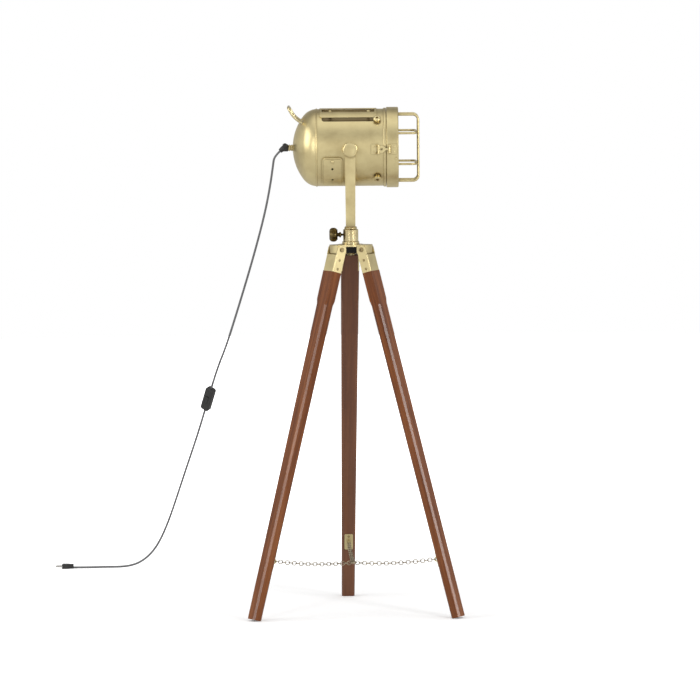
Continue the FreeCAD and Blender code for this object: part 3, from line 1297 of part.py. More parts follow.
def grip_screw():
    """Round clamp screw on the grip's near side."""
    base = V(GRIP_X1 + GRIP_SCREW_R, -GRIP_R, GRIP_SCREW_RISE)
    screw = turned([(0, 0), (GRIP_SCREW_R, 0), (GRIP_SCREW_R, 3.4), (GRIP_SCREW_R - 1, 4.4), (0, 4.4)],
                   base, V(0, -1, 0))
    slot = block(base.x - 0.8, base.x + 0.8, base.y - 6, base.y - 3.4, base.z - 9, base.z + 9)
    return screw.cut(slot).Solids[0]


def switch_placement():
    """Switch frame: +X along the cord, +Z out of the face with the rocker."""
    along = V(SWITCH_RUN).normalize()
    across = V(SWITCH_FACE).cross(along).normalize()
    turn = FreeCAD.Rotation(along, across, along.cross(across), "XYZ")
    return FreeCAD.Placement(SWITCH_CENTRE, turn)


def switch_outline(shrink):
    """Outline of the switch's halves: full at the middle, tapered to the cord."""
    half = SWITCH_LENGTH / 2
    wide = SWITCH_WIDTH / 2 - shrink
    end = 6.0 - shrink
    return [(-half, -end), (-half * 0.45, -wide), (half * 0.45, -wide), (half, -end),
            (half, end), (half * 0.45, wide), (-half * 0.45, wide), (-half, end)]


def switch_parts():
    """Lower half, upper half with its rocker well, and the rocker."""
    half_thick = SWITCH_THICK / 2
    cord_hole_r = CORD_D / 2 + SNUG
    lower = plate(switch_outline(0), half_thick)
    lower.translate(V(0, 0, -half_thick))
    upper = plate(switch_outline(0), half_thick - 2.0)
    crown = plate(switch_outline(2.5), 2.0)
    crown.translate(V(0, 0, half_thick - 2.0))
    upper = fused(upper, crown)
    well = block(-ROCKER_LENGTH / 2 - GAP, ROCKER_LENGTH / 2 + GAP, -ROCKER_WIDTH / 2 - GAP,
                 ROCKER_WIDTH / 2 + GAP, half_thick - 7.5, half_thick + 1)
    upper = upper.cut(well)
    for end in (-1, 1):
        hole = rod_between(cord_hole_r, V(end * (SWITCH_LENGTH / 2 - 10), 0, 0),
                           V(end * (SWITCH_LENGTH / 2 + 1), 0, 0))
        lower = lower.cut(hole)
        upper = upper.cut(hole)
    top = half_thick + ROCKER_RISE
    half_long = ROCKER_LENGTH / 2
    rocker = Part.Face(closed_wire([(-half_long, half_thick - 3.4), (0, half_thick - 6.5),
                                    (half_long, half_thick - 3.4), (half_long - 0.9, half_thick),
                                    ((0, half_thick + 0.2), (0.9 - half_long, top))],
                                   lambda x, z: V(x, 0, z)))
    rocker = rocker.extrude(V(0, ROCKER_WIDTH, 0))
    rocker.translate(V(0, -ROCKER_WIDTH / 2, 0))
    return lower.Solids[0], upper.Solids[0], rocker


def switch_end(end, beyond):
    """Point on the cord beyond where it enters (-1) or leaves (1) the switch."""
    return SWITCH_CENTRE + V(SWITCH_RUN).normalize() * (end * (SWITCH_LENGTH / 2 - 9 + beyond))


def plug():
    """Flat two-pin plug that lies on the floor, and its pins."""
    front = PLUG_BACK.x - PLUG_LENGTH
    half = PLUG_WIDTH / 2
    outline = [(PLUG_BACK.x, -5.0), (PLUG_BACK.x - 9, -6.5), (PLUG_BACK.x - 16, -half), (front, -half),
               (front, half), (PLUG_BACK.x - 16, half), (PLUG_BACK.x - 9, 6.5), (PLUG_BACK.x, 5.0)]
    body = plate(outline, PLUG_THICK)
    edges = [edge for edge in body.Edges if abs(edge.Length - PLUG_THICK) < 0.01
             and edge.BoundBox.ZLength > 1 and edge.BoundBox.XMax < front + 1]
    body = body.makeFillet(3.0, edges)
    body.translate(V(0, PLUG_BACK.y, 0.2))
    cord_z = PLUG_BACK.z
    body = body.cut(rod_between(CORD_D / 2 + SNUG, V(PLUG_BACK.x - 8, PLUG_BACK.y, cord_z),
                                V(PLUG_BACK.x + 1, PLUG_BACK.y, cord_z)))
    pins = []
    for side in (-1, 1):
        root = V(front, PLUG_BACK.y + side * PLUG_PIN_PITCH / 2, 0.2 + PLUG_THICK / 2)
        pins.append(turned([(0, -4), (PLUG_PIN_R, -4), (PLUG_PIN_R, PLUG_PIN_LENGTH - 1.5),
                            (PLUG_PIN_R - 0.8, PLUG_PIN_LENGTH), (0, PLUG_PIN_LENGTH)], root, V(-1, 0, 0)))
        body = body.cut(rod_between(PLUG_PIN_R, root + V(4, 0, 0), root - V(1, 0, 0)))
    return body.Solids[0], pins


def cord(node, points):
    """Round cord through its route's points, with the largest arcs that its runs allow."""
    radii = cord_radii(points)
    tube = bent_rod(points, radii, CORD_D / 2)
    length = bent_path(points, radii).Length
    section = math.pi * CORD_D ** 2 / 4
    runs = [(after - before).Length for before, after in zip(points, points[1:])]
    print(node, "length %.0f" % length, "volume/section/length %.4f" % (tube.Volume / section / length),
          "least radius %.0f" % min(radii), "runs %.0f to %.0f" % (min(runs), max(runs)))
    print("  radii", " ".join("%.0f" % radius for radius in radii))
    add(node, tube)


def make_cord():
    start, way = grip_tail()
    start = start + V(0, 0, HEAD_Z)
    exit_point = start + way * (GRIP_TAIL_LENGTH - 6)
    lead = start + way * (GRIP_TAIL_LENGTH - 6 + CORD_LEAD)
    head_route = [exit_point, lead] + [V(*point) for point in HEAD_CORD_ROUTE]
    cord("cord_head", head_route + [switch_end(-1, SWITCH_LEAD), switch_end(-1, 0)])
    plug_body, plug_pins = plug()
    floor_route = [switch_end(1, 0), switch_end(1, SWITCH_LEAD)] + [V(*point) for point in FLOOR_CORD_ROUTE]
    cord("cord_floor", floor_route + [PLUG_BACK - V(7, 0, 0)])
    placement = switch_placement()
    lower, upper, rocker = switch_parts()
    add("switch_lower", placed(lower, placement))
    add("switch_upper", placed(upper, placement))
    add("switch_rocker", placed(rocker, placement))
    add("plug_body", plug_body)
    add("plug_pins", *plug_pins)


def main():
    make_tripod()
    make_chains()
    make_mast()
    make_head()
    make_cord()
    os.makedirs("parts", exist_ok=True)
    for node, solids in NODES.items():
        shape = solids[0] if len(solids) == 1 else Part.makeCompound(solids)
        if not shape.isValid():
            print("invalid", node)
        shape.exportStep("parts/" + node + ".step")
    print(len(NODES), "nodes", sum(len(solids) for solids in NODES.values()), "solids")


main()
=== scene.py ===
import json
import math
import bpy
import numpy as np
from mathutils import Matrix, Vector


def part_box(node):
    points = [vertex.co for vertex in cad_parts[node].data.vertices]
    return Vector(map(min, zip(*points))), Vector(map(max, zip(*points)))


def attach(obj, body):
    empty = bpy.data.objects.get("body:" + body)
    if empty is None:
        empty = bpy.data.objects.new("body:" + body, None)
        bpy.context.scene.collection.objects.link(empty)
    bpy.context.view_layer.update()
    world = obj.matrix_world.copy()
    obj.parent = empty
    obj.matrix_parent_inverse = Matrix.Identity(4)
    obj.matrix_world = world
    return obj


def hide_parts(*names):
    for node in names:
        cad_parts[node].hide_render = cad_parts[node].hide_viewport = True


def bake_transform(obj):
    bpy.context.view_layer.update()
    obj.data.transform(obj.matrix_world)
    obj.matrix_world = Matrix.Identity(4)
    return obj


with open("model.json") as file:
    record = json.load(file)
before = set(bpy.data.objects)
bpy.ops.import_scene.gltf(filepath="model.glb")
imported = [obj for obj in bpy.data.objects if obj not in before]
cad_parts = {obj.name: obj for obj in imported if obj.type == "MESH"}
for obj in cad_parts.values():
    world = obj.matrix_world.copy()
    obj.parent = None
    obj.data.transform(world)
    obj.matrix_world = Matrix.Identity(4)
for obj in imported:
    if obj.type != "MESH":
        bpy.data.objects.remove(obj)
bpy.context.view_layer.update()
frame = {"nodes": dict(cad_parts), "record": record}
scene = bpy.context.scene
nodes = frame["nodes"]

# Camera ----------------------------------------------------------------------------------------

CAMERA_AT = Vector((0.0, -14.4, 2.02))
CAMERA_AIM = Vector((-0.0045, 0.0, 0.7335))
CAMERA_ROLL = math.radians(0.45)
CAMERA_LENS = 267.0  # mm, on a sensor 36 mm wide

camera_data = bpy.data.cameras.new("camera")
camera_data.sensor_width = 36
camera_data.lens = CAMERA_LENS
camera_data.clip_end = 200
camera = bpy.data.objects.new("camera", camera_data)
scene.collection.objects.link(camera)
camera.location = CAMERA_AT
aimed = (CAMERA_AIM - CAMERA_AT).to_track_quat("-Z", "Y").to_matrix()
camera.rotation_euler = (aimed @ Matrix.Rotation(-CAMERA_ROLL, 3, "Z")).to_euler()
scene.camera = camera


# Materials -------------------------------------------------------------------------------------


class Shader:
    """A material's node tree with one Principled shader."""

    def __init__(self, name):
        self.material = bpy.data.materials.new(name)
        self.material.use_nodes = True
        self.tree = self.material.node_tree
        self.tree.nodes.clear()
        self.surface = self.add("BsdfPrincipled")
        out = self.add("OutputMaterial")
        self.tree.links.new(self.surface.outputs[0], out.inputs["Surface"])

    def add(self, kind, inputs=None, **settings):
        node = self.tree.nodes.new("ShaderNode" + kind)
        for key, value in settings.items():
            setattr(node, key, value)
        for key, value in (inputs or {}).items():
            self.put(node.inputs[key], value)
        return node

    def put(self, socket, value):
        if isinstance(value, bpy.types.NodeSocket):
            self.tree.links.new(value, socket)
        else:
            socket.default_value = value

    def set(self, **inputs):
        for key, value in inputs.items():
            self.put(self.surface.inputs[key.replace("_", " ")], value)

    def coords(self, location=(0, 0, 0), rotation=(0, 0, 0)):
        """Object coordinates taken back by a placement, so that they run along a piece."""
        at = self.add("TexCoord").outputs["Object"]
        return self.add("Mapping", {"Vector": at, "Location": location, "Rotation": rotation},
                        vector_type="TEXTURE").outputs["Vector"]

    def noise(self, vector, scale, detail=3.0, rough=0.5, distortion=0.0):
        return self.add("TexNoise", {"Vector": vector, "Scale": scale, "Detail": detail,
                                     "Roughness": rough, "Distortion": distortion}).outputs["Fac"]

    def stretch(self, vector, factors):
        return self.add("VectorMath", {0: vector, 1: factors}, operation="MULTIPLY").outputs[0]

    def ramp(self, value, stops):
        ramp = self.add("ValToRGB", {"Fac": value})
        points = ramp.color_ramp.elements
        while len(points) < len(stops):
            points.new(0.5)
        for point, (place, colour) in zip(points, stops):
            point.position = place
            point.color = (*colour, 1)
        return ramp.outputs["Color"]

    def span(self, value, low, high, to_low, to_high):
        return self.add("MapRange", {"Value": value, "From Min": low, "From Max": high,
                                     "To Min": to_low, "To Max": to_high}).outputs[0]

    def mix(self, factor, a, b):
        node = self.add("Mix", data_type="RGBA")
        self.put(node.inputs["Factor"], factor)
        self.put([s for s in node.inputs if s.name == "A" and s.type == "RGBA"][0], a)
        self.put([s for s in node.inputs if s.name == "B" and s.type == "RGBA"][0], b)
        return [s for s in node.outputs if s.type == "RGBA"][0]

    def bump(self, height, strength, distance, edge=0.0):
        inputs = {"Height": height, "Strength": strength, "Distance": distance}
        if edge:
            inputs["Normal"] = self.add("Bevel", {"Radius": edge}, samples=4).outputs[0]
        self.set(Normal=self.add("Bump", inputs).outputs[0])


def grey(value):
    return (value, value, value)


def brass(name, light, dark, rough=(0.30, 0.40), edge=0.0006, crevice_shade=0.75):
    """Lacquered brass: cloudy tone, fine satin grain, softened edges and painted shade in its
    crevices.
    """
    s = Shader(name)
    at = s.coords()
    cloud = s.noise(at, 16.0, 5.0, 0.6)
    fleck = s.noise(at, 170.0, 3.0, 0.6)
    deep = (dark[0] * 0.35, dark[1] * 0.30, dark[2] * 0.25, 1)
    tone = s.ramp(cloud, [(0.32, dark), (0.62, light)])
    tone = s.mix(s.span(fleck, 0.55, 0.8, 0.0, 0.3), tone, (*dark, 1))
    # Painted shade: where ambient occlusion finds little open sky, the tone darkens towards the
    # deep colour.
    open_sky = s.add("AmbientOcclusion", {"Distance": 0.009}, samples=6).outputs["AO"]
    tone = s.mix(s.span(open_sky, 0.35, 0.95, crevice_shade, 0.0), tone, deep)
    s.set(Base_Color=tone, Metallic=1.0, Roughness=s.span(cloud, 0.3, 0.7, *rough))
    s.bump(s.noise(at, 700.0, 2.0), 0.12, 0.0002, edge)
    return s.material


def wood(name, location, rotation, painted_sheen):
    """Varnished wood, its grain along the leg, with a share of grey-brown painted in as a sheen of
    reflected light, 0 to 1.
    """
    s = Shader(name)
    at = s.coords(location, rotation)
    broad = s.noise(s.stretch(at, (1, 1, 0.045)), 60.0, 5.0, 0.6, 0.4)
    fibre = s.noise(s.stretch(at, (1, 1, 0.03)), 330.0, 3.0, 0.6)
    pore = s.noise(s.stretch(at, (1, 1, 0.07)), 900.0, 2.0, 0.5)
    cloud = s.noise(at, 5.0, 2.0, 0.5)
    tone = s.ramp(broad, [(0.28, (0.070, 0.017, 0.004)), (0.45, (0.160, 0.048, 0.013)),
                          (0.58, (0.235, 0.080, 0.023)), (0.78, (0.325, 0.130, 0.044))])
    tone = s.mix(s.span(fibre, 0.45, 0.75, 0.0, 0.55), tone, (0.080, 0.024, 0.008, 1))
    tone = s.mix(s.span(pore, 0.6, 0.75, 0.0, 0.6), tone, (0.040, 0.013, 0.007, 1))
    tone = s.mix(s.span(cloud, 0.35, 0.65, 0.0, 0.25), tone, (0.26, 0.095, 0.030, 1))
    # Painted sheen: grey-brown mixed into the tone for light reflected off the leg.
    tone = s.mix(painted_sheen, tone, (0.165, 0.088, 0.062, 1))
    s.set(Base_Color=tone, Roughness=s.span(fibre, 0.3, 0.7, 0.40, 0.52), Coat_Weight=0.55,
          Coat_Roughness=0.09, Coat_IOR=1.45, Coat_Tint=(1.0, 0.88, 0.76, 1),
          Specular_IOR_Level=0.08)
    s.bump(fibre, 0.12, 0.0003, 0.0010)
    return s.material


def plastic(name, colour, rough, grain=1400.0, strength=0.2, shine=0.5):
    """Moulded plastic or glaze with a fine grain."""
    s = Shader(name)
    at = s.coords()
    fine = s.noise(at, grain, 2.0)
    cloud = s.noise(at, 60.0, 3.0)
    lighter = (*[c * 1.3 for c in colour], 1)
    s.set(Base_Color=s.mix(s.span(cloud, 0.3, 0.7, 0.0, 1.0), (*colour, 1), lighter),
          Roughness=s.span(fine, 0.3, 0.7, rough - 0.06, rough + 0.06), Specular_IOR_Level=shine)
    s.bump(fine, strength, 0.0002, 0.0006)
    return s.material


def glass(name, rough, colour):
    """Clear or frosted glass, by its roughness."""
    s = Shader(name)
    s.set(Base_Color=colour, Transmission_Weight=1.0, IOR=1.48)
    s.set(Roughness=s.span(s.noise(s.coords(), 25.0), 0.3, 0.7, rough, rough + 0.03))
    return s.material


def metal(name, colour, rough):
    """Plain plated metal with a drawn grain."""
    s = Shader(name)
    at = s.coords()
    fine = s.noise(s.stretch(at, (1, 1, 0.2)), 900.0, 2.0)
    s.set(Base_Color=s.mix(s.noise(at, 40.0), (*colour, 1), (*[c * 0.85 for c in colour], 1)),
          Metallic=1.0, Roughness=s.span(fine, 0.3, 0.7, rough - 0.05, rough + 0.05))
    s.bump(fine, 0.08, 0.0002, 0.0003)
    return s.material


BRASS = brass("brass_satin", (0.80, 0.68, 0.365), (0.66, 0.54, 0.275))
BRASS_POLISHED = brass("brass_polished", (0.84, 0.73, 0.43), (0.62, 0.50, 0.26), (0.2, 0.28))
BRASS_DARK = brass("brass_in_shade", (0.42, 0.33, 0.17), (0.30, 0.22, 0.11), (0.35, 0.5))
# Brass darkened as painted shade, for the clamp knob that faces away from the light.
BRASS_DEEP_SHADE = brass("brass_painted_deep_shade", (0.22, 0.165, 0.07), (0.09, 0.065, 0.026), (0.26, 0.38), crevice_shade=0.9)
BRASS_CHAIN = brass("brass_chain", (0.50, 0.43, 0.30), (0.30, 0.24, 0.16), (0.26, 0.38),
                    edge=0.0, crevice_shade=0.9)
BLACK_PLASTIC = plastic("black_plastic_matt", (0.022, 0.021, 0.020), 0.5)
# Matt black for a sheet of painted shade.
BLACK_SHADE_SHEET = plastic("black_painted_shade_matt", (0.009, 0.008, 0.007), 0.7, shine=0.12)
# Dark grey: partly the cable's own dark colour, partly a painted sheen.
BLACK_CABLE = plastic("black_cable_sheath", (0.125, 0.125, 0.128), 0.5, 700.0, 0.1)
CLEAR = glass("clear_glass_lens", 0.0, (0.95, 0.97, 0.97, 1))
FROSTED = glass("frosted_glass_bulb", 0.35, (0.97, 0.96, 0.93, 1))
CERAMIC = plastic("white_ceramic_glaze", (0.62, 0.61, 0.58), 0.18, 300.0, 0.05)
NICKEL = metal("nickel_plate", (0.66, 0.64, 0.60), 0.25)

BY_SLOT = {"antique_brass": BRASS, "black_plastic": BLACK_PLASTIC, "black_cable": BLACK_CABLE,
           "clear_glass": CLEAR, "frosted_glass": FROSTED, "white_ceramic": CERAMIC,
           "nickel": NICKEL}

LEAN = math.radians(15.5)
PIVOT_R = 0.045
PIVOT_Z = 1.016
LEG_AZIMUTHS = {"left": 212.7, "right": 332.7, "rear": 92.7}
# Share of grey-brown painted in as a sheen of reflected light, for each leg.
PAINTED_SHEEN = {"left": 0.0, "right": 0.0, "rear": 0.6}


def leg_wood(name, azimuth_deg):
    azimuth = math.radians(azimuth_deg)
    pivot = (PIVOT_R * math.cos(azimuth), PIVOT_R * math.sin(azimuth), PIVOT_Z)
    turn = Matrix.Rotation(azimuth, 4, "Z") @ Matrix.Rotation(-LEAN, 4, "Y")
    return wood("wood_" + name, pivot, turn.to_euler(), PAINTED_SHEEN[name])


def paint(obj, material):
    obj.data.materials.clear()
    obj.data.materials.append(material)


slot_of = {part["node"]: part["material_slot"] for part in frame["record"]["subparts"]}
for name, obj in nodes.items():
    if slot_of.get(name) in BY_SLOT:
        paint(obj, BY_SLOT[slot_of[name]])
for name, azimuth in LEG_AZIMUTHS.items():
    paint(nodes["leg_" + name], leg_wood(name, azimuth))
    paint(nodes["leg_screws_" + name], BRASS_DARK)
for name in ("vent_baffle", "pivot_bolts", "stem_fasteners"):
    paint(nodes[name], BRASS_DARK)
for name in ("collar", "handle"):
    paint(nodes[name], BRASS_POLISHED)


# Cord ------------------------------------------------------------------------------------------

CORD_D = 0.006
HEAD_CORD = [
    (-0.18998, 0, 1.29282), (-0.21066, 0, 1.27547), (-0.2145, 0.011, 1.248),
    (-0.2208, 0.024, 1.205), (-0.232, 0.047, 1.145), (-0.2476, 0.079, 1.080),
    (-0.2663, 0.117, 1.012), (-0.2873, 0.160, 0.940), (-0.310, 0.206, 0.866),
    (-0.3333, 0.2537, 0.792), (-0.357, 0.302, 0.719), (-0.38595, 0.36103, 0.64684),
    (-0.40481, 0.39937, 0.58398),
]
FLOOR_CORD = [
    (-0.41919, 0.42863, 0.53602), (-0.43805, 0.46697, 0.47316), (-0.4615, 0.515, 0.403),
    (-0.4855, 0.564, 0.333), (-0.5085, 0.611, 0.264), (-0.5305, 0.656, 0.199),
    (-0.553, 0.702, 0.141), (-0.576, 0.749, 0.094), (-0.6034, 0.8037, 0.056),
    (-0.635, 0.868, 0.028), (-0.662, 0.922, 0.013), (-0.692, 0.957, 0.005),
    (-0.735, 0.971, 0.0032), (-0.788, 0.964, 0.0032), (-0.841, 0.964, 0.0032),
]


def link_in(obj):
    scene.collection.objects.link(obj)
    return obj


def cord_curve(name, points, bevel):
    curve = bpy.data.curves.new(name, "CURVE")
    curve.dimensions = "3D"
    spline = curve.splines.new("NURBS")
    spline.points.add(len(points) - 1)
    for point, place in zip(spline.points, points):
        point.co = (*place, 1.0)
    spline.order_u = 3
    spline.use_endpoint_u = True
    curve.resolution_u = 10
    curve.bevel_depth = bevel
    curve.bevel_resolution = 5
    curve.use_fill_caps = bevel > 0
    return link_in(bpy.data.objects.new(name, curve))


def mesh_of(obj):
    bpy.context.view_layer.update()
    return bpy.data.meshes.new_from_object(obj.evaluated_get(bpy.context.evaluated_depsgraph_get()))


def centre_line(name, points):
    line = cord_curve(name, points, 0.0)
    path = [vertex.co.copy() for vertex in mesh_of(line).vertices]
    bpy.data.objects.remove(line)
    return path, sum((b - a).length for a, b in zip(path, path[1:]))


def shade(obj, smooth):
    for face in obj.data.polygons:
        face.use_smooth = smooth


def new_mesh(name, verts, faces, material):
    mesh = bpy.data.meshes.new(name)
    mesh.from_pydata([tuple(v) for v in verts], [], faces)
    mesh.validate()
    mesh.update()
    obj = link_in(bpy.data.objects.new(name, mesh))
    shade(obj, True)
    paint(obj, material)
    return obj


SWITCH_MIDDLE = Vector((-0.412, 0.414, 0.560))
SWITCH_RUN = Vector((-0.30, 0.61, -1.0)).normalized()
SWITCH_SIDE = Vector((-0.42, -0.9, 0.0)).cross(SWITCH_RUN).normalized()
SWITCH_TURN = Matrix((SWITCH_RUN, SWITCH_SIDE, SWITCH_RUN.cross(SWITCH_SIDE))).transposed()
SWITCH_DEEP = 0.0095  # from the seam to each face
SWITCH_HALF_LONG = 0.038
SWITCH_HALF_WIDE = 0.0135
SWITCH_CORNER = 0.007
SWITCH_SOFT = 0.0032  # radius between the sides and each face
SWITCH_SEAM = ((0.0006, 0.0001), (0.0001, 0.0006), (0.0, 0.0012))  # inset and height
WELL_HALF_LONG = 0.0114
WELL_HALF_WIDE = 0.0049
WELL_EDGE = 0.0006
WELL_DEEP = 0.0075


def rounded(half_long, half_wide, radius, height, steps=8):
    """Outline of a rounded rectangle at a height."""
    points = []
    for corner, (x, y) in enumerate(((1, 1), (-1, 1), (-1, -1), (1, -1))):
        for k in range(steps + 1):
            angle = math.pi / 2 * (corner + k / steps)
            points.append(Vector((x * (half_long - radius) + radius * math.cos(angle),
                                  y * (half_wide - radius) + radius * math.sin(angle), height)))
    return points


def switch_shell(name, node, way):
    """Half of the in-line switch's shell; the half with the rocker has a well for it."""

    def outline(inset, height):
        return rounded(SWITCH_HALF_LONG - inset, SWITCH_HALF_WIDE - inset,
                       SWITCH_CORNER - inset, height)

    rings = [outline(*step) for step in SWITCH_SEAM]
    for k in range(6):
        turn = math.pi / 2 * k / 5
        rings.append(outline(SWITCH_SOFT * (1 - math.cos(turn)),
                             SWITCH_DEEP - SWITCH_SOFT * (1 - math.sin(turn))))
    if way > 0:
        rings.append(rounded(WELL_HALF_LONG + WELL_EDGE, WELL_HALF_WIDE + WELL_EDGE, 2 * WELL_EDGE,
                             SWITCH_DEEP))
        rings += [rounded(WELL_HALF_LONG, WELL_HALF_WIDE, WELL_EDGE, SWITCH_DEEP - deep)
                  for deep in (WELL_EDGE, WELL_DEEP)]
    count = len(rings[0])
    verts, faces = [], []
    for ring in rings:
        verts += [SWITCH_MIDDLE + SWITCH_TURN @ Vector((v.x, v.y * way, v.z * way)) for v in ring]
    for n in range(len(rings) - 1):
        for k in range(count):
            a, b = n * count + k, n * count + (k + 1) % count
            faces.append((a, b, b + count, a + count))
    faces.append(tuple(reversed(range(count))))
    faces.append(tuple(range(len(verts) - count, len(verts))))
    obj = new_mesh(name, verts, faces, BLACK_PLASTIC)
    obj.data.set_sharp_from_angle(angle=math.radians(35))
    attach(obj, "mast")
    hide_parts(node)
    return obj


shell_lower = switch_shell("switch_shell_lower", "switch_lower", -1)
shell_upper = switch_shell("switch_shell_upper", "switch_upper", 1)
head_path, head_length = centre_line("cord_head_line", HEAD_CORD)
tube = cord_curve("cord_head_curve", HEAD_CORD, CORD_D / 2)
head_cord = link_in(bpy.data.objects.new("cord_head_tube", mesh_of(tube)))
bpy.data.objects.remove(tube)
shade(head_cord, True)
paint(head_cord, BLACK_CABLE)
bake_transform(head_cord)
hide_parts("cord_head")

floor_length = centre_line("cord_floor_line", FLOOR_CORD)[1]
floor_cord = cord_curve("cord_floor_run", FLOOR_CORD, CORD_D / 2)
floor_cord.data.materials.append(BLACK_CABLE)
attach(floor_cord, "mast")
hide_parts("cord_floor")


# Chains of round wire ----------------------------------------------------------------------------

WIRE_R = 0.00105


def pieces_of(mesh):
    """The loose pieces of a mesh, as arrays of points."""
    parent = list(range(len(mesh.vertices)))

    def root(k):
        while parent[k] != k:
            parent[k] = parent[parent[k]]
            k = parent[k]
        return k

    seen = {}
    for vertex in mesh.vertices:
        key = tuple(round(c, 6) for c in vertex.co)
        if key in seen:
            parent[root(vertex.index)] = root(seen[key])
        seen[key] = vertex.index
    for edge in mesh.edges:
        parent[root(edge.vertices[0])] = root(edge.vertices[1])
    groups = {}
    for vertex in mesh.vertices:
        groups.setdefault(root(vertex.index), []).append(tuple(vertex.co))
    return [np.array(group) for group in groups.values()]


def link_path(half_length, half_width, steps=28):
    """Centreline of a link: a stadium in its own XY plane."""
    straight = half_length - half_width
    for k in range(steps):
        angle = math.tau * (k + 0.5) / steps
        x = half_width * math.cos(angle)
        yield Vector((x + math.copysign(straight, x), half_width * math.sin(angle), 0))


def add_tube(verts, faces, path, radius, sides=10):
    """A closed tube round a closed flat path."""
    first = len(verts)
    count = len(path)
    for k, point in enumerate(path):
        along = (path[(k + 1) % count] - path[k - 1]).normalized()
        out = along.cross(Vector((0, 0, 1)))
        for j in range(sides):
            angle = math.tau * j / sides
            up = Vector((0, 0, radius * math.sin(angle)))
            verts.append(point + out * (radius * math.cos(angle)) + up)
    for k in range(count):
        for j in range(sides):
            a, b = first + k * sides, first + (k + 1) % count * sides
            faces.append((a + j, b + j, b + (j + 1) % sides, a + (j + 1) % sides))


def chain(name):
    """A chain's links in round wire, one at each link of its node, in order from the ring out to
    its leg.
    """
    links = pieces_of(nodes["chain_" + name].data)
    middles = [(group.max(0) + group.min(0)) / 2 for group in links]
    order = sorted(range(len(links)), key=lambda k: float(np.hypot(middles[k][0], middles[k][1])))
    verts, faces = [], []
    for n, k in enumerate(order):
        before = middles[order[max(n - 1, 0)]]
        after = middles[order[min(n + 1, len(order) - 1)]]
        along = Vector(after - before).normalized()
        level = along.cross(Vector((0, 0, 1))).normalized()
        rise = level.cross(along)
        own = links[k] - middles[k]
        reach = [float(np.abs(own @ np.array(way)).max()) for way in (along, level, rise)]
        if reach[1] > reach[2]:
            width, half_width = level, reach[1]
        else:
            width, half_width = rise, reach[2]
        turn = Matrix((along, width, along.cross(width))).transposed()
        local, rings = [], []
        inset = WIRE_R * 1.1
        add_tube(local, rings, list(link_path(reach[0] - inset, half_width - inset)), WIRE_R)
        first = len(verts)
        verts += [Vector(middles[k]) + turn @ v for v in local]
        faces += [tuple(first + i for i in ring) for ring in rings]
    obj = new_mesh("chain_wire_" + name, verts, faces, BRASS_CHAIN)
    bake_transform(obj)
    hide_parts("chain_" + name)


for name in LEG_AZIMUTHS:
    chain(name)
paint(nodes["chain_ring"], BRASS_CHAIN)


# Knobs -----------------------------------------------------------------------------------------


def add_lobed(verts, faces, rings, lobes=4, around=64):
    """Rings of (radius, height, depth of the valleys) about Z, closed at both ends."""
    first = len(verts)
    for radius, height, valley in rings:
        for k in range(around):
            angle = math.tau * k / around
            r = radius * (1 - valley * (0.5 - 0.5 * math.cos(lobes * angle)) ** 1.5)
            verts.append(Vector((r * math.cos(angle), r * math.sin(angle), height)))
    for n in range(len(rings) - 1):
        for k in range(around):
            a, b = first + n * around + k, first + n * around + (k + 1) % around
            faces.append((a, b, b + around, a + around))
    faces.append(tuple(first + k for k in reversed(range(around))))
    last = first + (len(rings) - 1) * around
    faces.append(tuple(last + k for k in range(around)))


# Dish in a knob's face: share of its radius, depth, share of its valleys.
DISH = ((0.5, 0.0006, 0.3), (0.3, 0.0012, 0.0), (0.04, 0.0014, 0.0))


def knob_rings(radius, base, height, valley, soft):
    """A knob's rings: softened at both edges, with a shallow dish in its face."""
    top = base + height
    rings = [(radius * 0.55, base, 0.0), (radius * 0.86, base, valley * 0.6)]
    for k in range(1, 6):
        turn = math.pi / 2 * k / 5
        rings.append((radius - soft * (1 - math.sin(turn)), base + soft * (1 - math.cos(turn)),
                      valley))
    for k in range(6):
        turn = math.pi / 2 * k / 5
        rings.append((radius - soft * (1 - math.cos(turn)), top - soft * (1 - math.sin(turn)),
                      valley * (1 - 0.3 * k / 5)))
    return rings + [(radius * wide, top - deep, valley * lobe) for wide, deep, lobe in DISH]


def knob(name, rings_list, base, axis, material, body, node, spin=0.0):
    """A knob of (rings, lobes) parts along an axis from its base, in place of a node."""
    verts, faces = [], []
    for rings, lobes in rings_list:
        add_lobed(verts, faces, rings, lobes)
    turn = Vector(axis).to_track_quat("Z", "Y").to_matrix() @ Matrix.Rotation(spin, 3, "Z")
    obj = new_mesh(name, [Vector(base) + turn @ v for v in verts], faces, material)
    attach(obj, body)
    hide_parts(node)


LOBES = 4
TILT_KNOB_VALLEY = 0.08
TILT_KNOB_SOFT = 0.0045
TILT_KNOB_SPIN = math.radians(20)
CLAMP_KNOB_VALLEY = 0.2
CLAMP_KNOB_SOFT = 0.0095
CLAMP_KNOB_DEEP = 0.023
NECK_R = 0.0030
# Turned neck behind the clamp knob: radius, distance before the knob.
NECK = ((NECK_R, 0.011), (0.0054, 0.010), (0.0074, 0.0086), (0.0078, 0.0070), (0.0074, 0.0054),
        (0.0054, 0.004), (0.0048, 0.002), (0.0070, -0.002))

for side, way in (("near", -1), ("far", 1)):
    low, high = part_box("pivot_knob_" + side)
    radius = (high.z - low.z) / 2
    foot = high.y if way < 0 else low.y
    middle = ((low.x + high.x) / 2, foot, (low.z + high.z) / 2)
    rings = knob_rings(radius, 0.0, high.y - low.y, TILT_KNOB_VALLEY, TILT_KNOB_SOFT)
    knob("tilt_knob_" + side, [(rings, LOBES)], middle, (0, way, 0), BRASS,
         "tilt_knob_" + side, "pivot_knob_" + side, TILT_KNOB_SPIN)

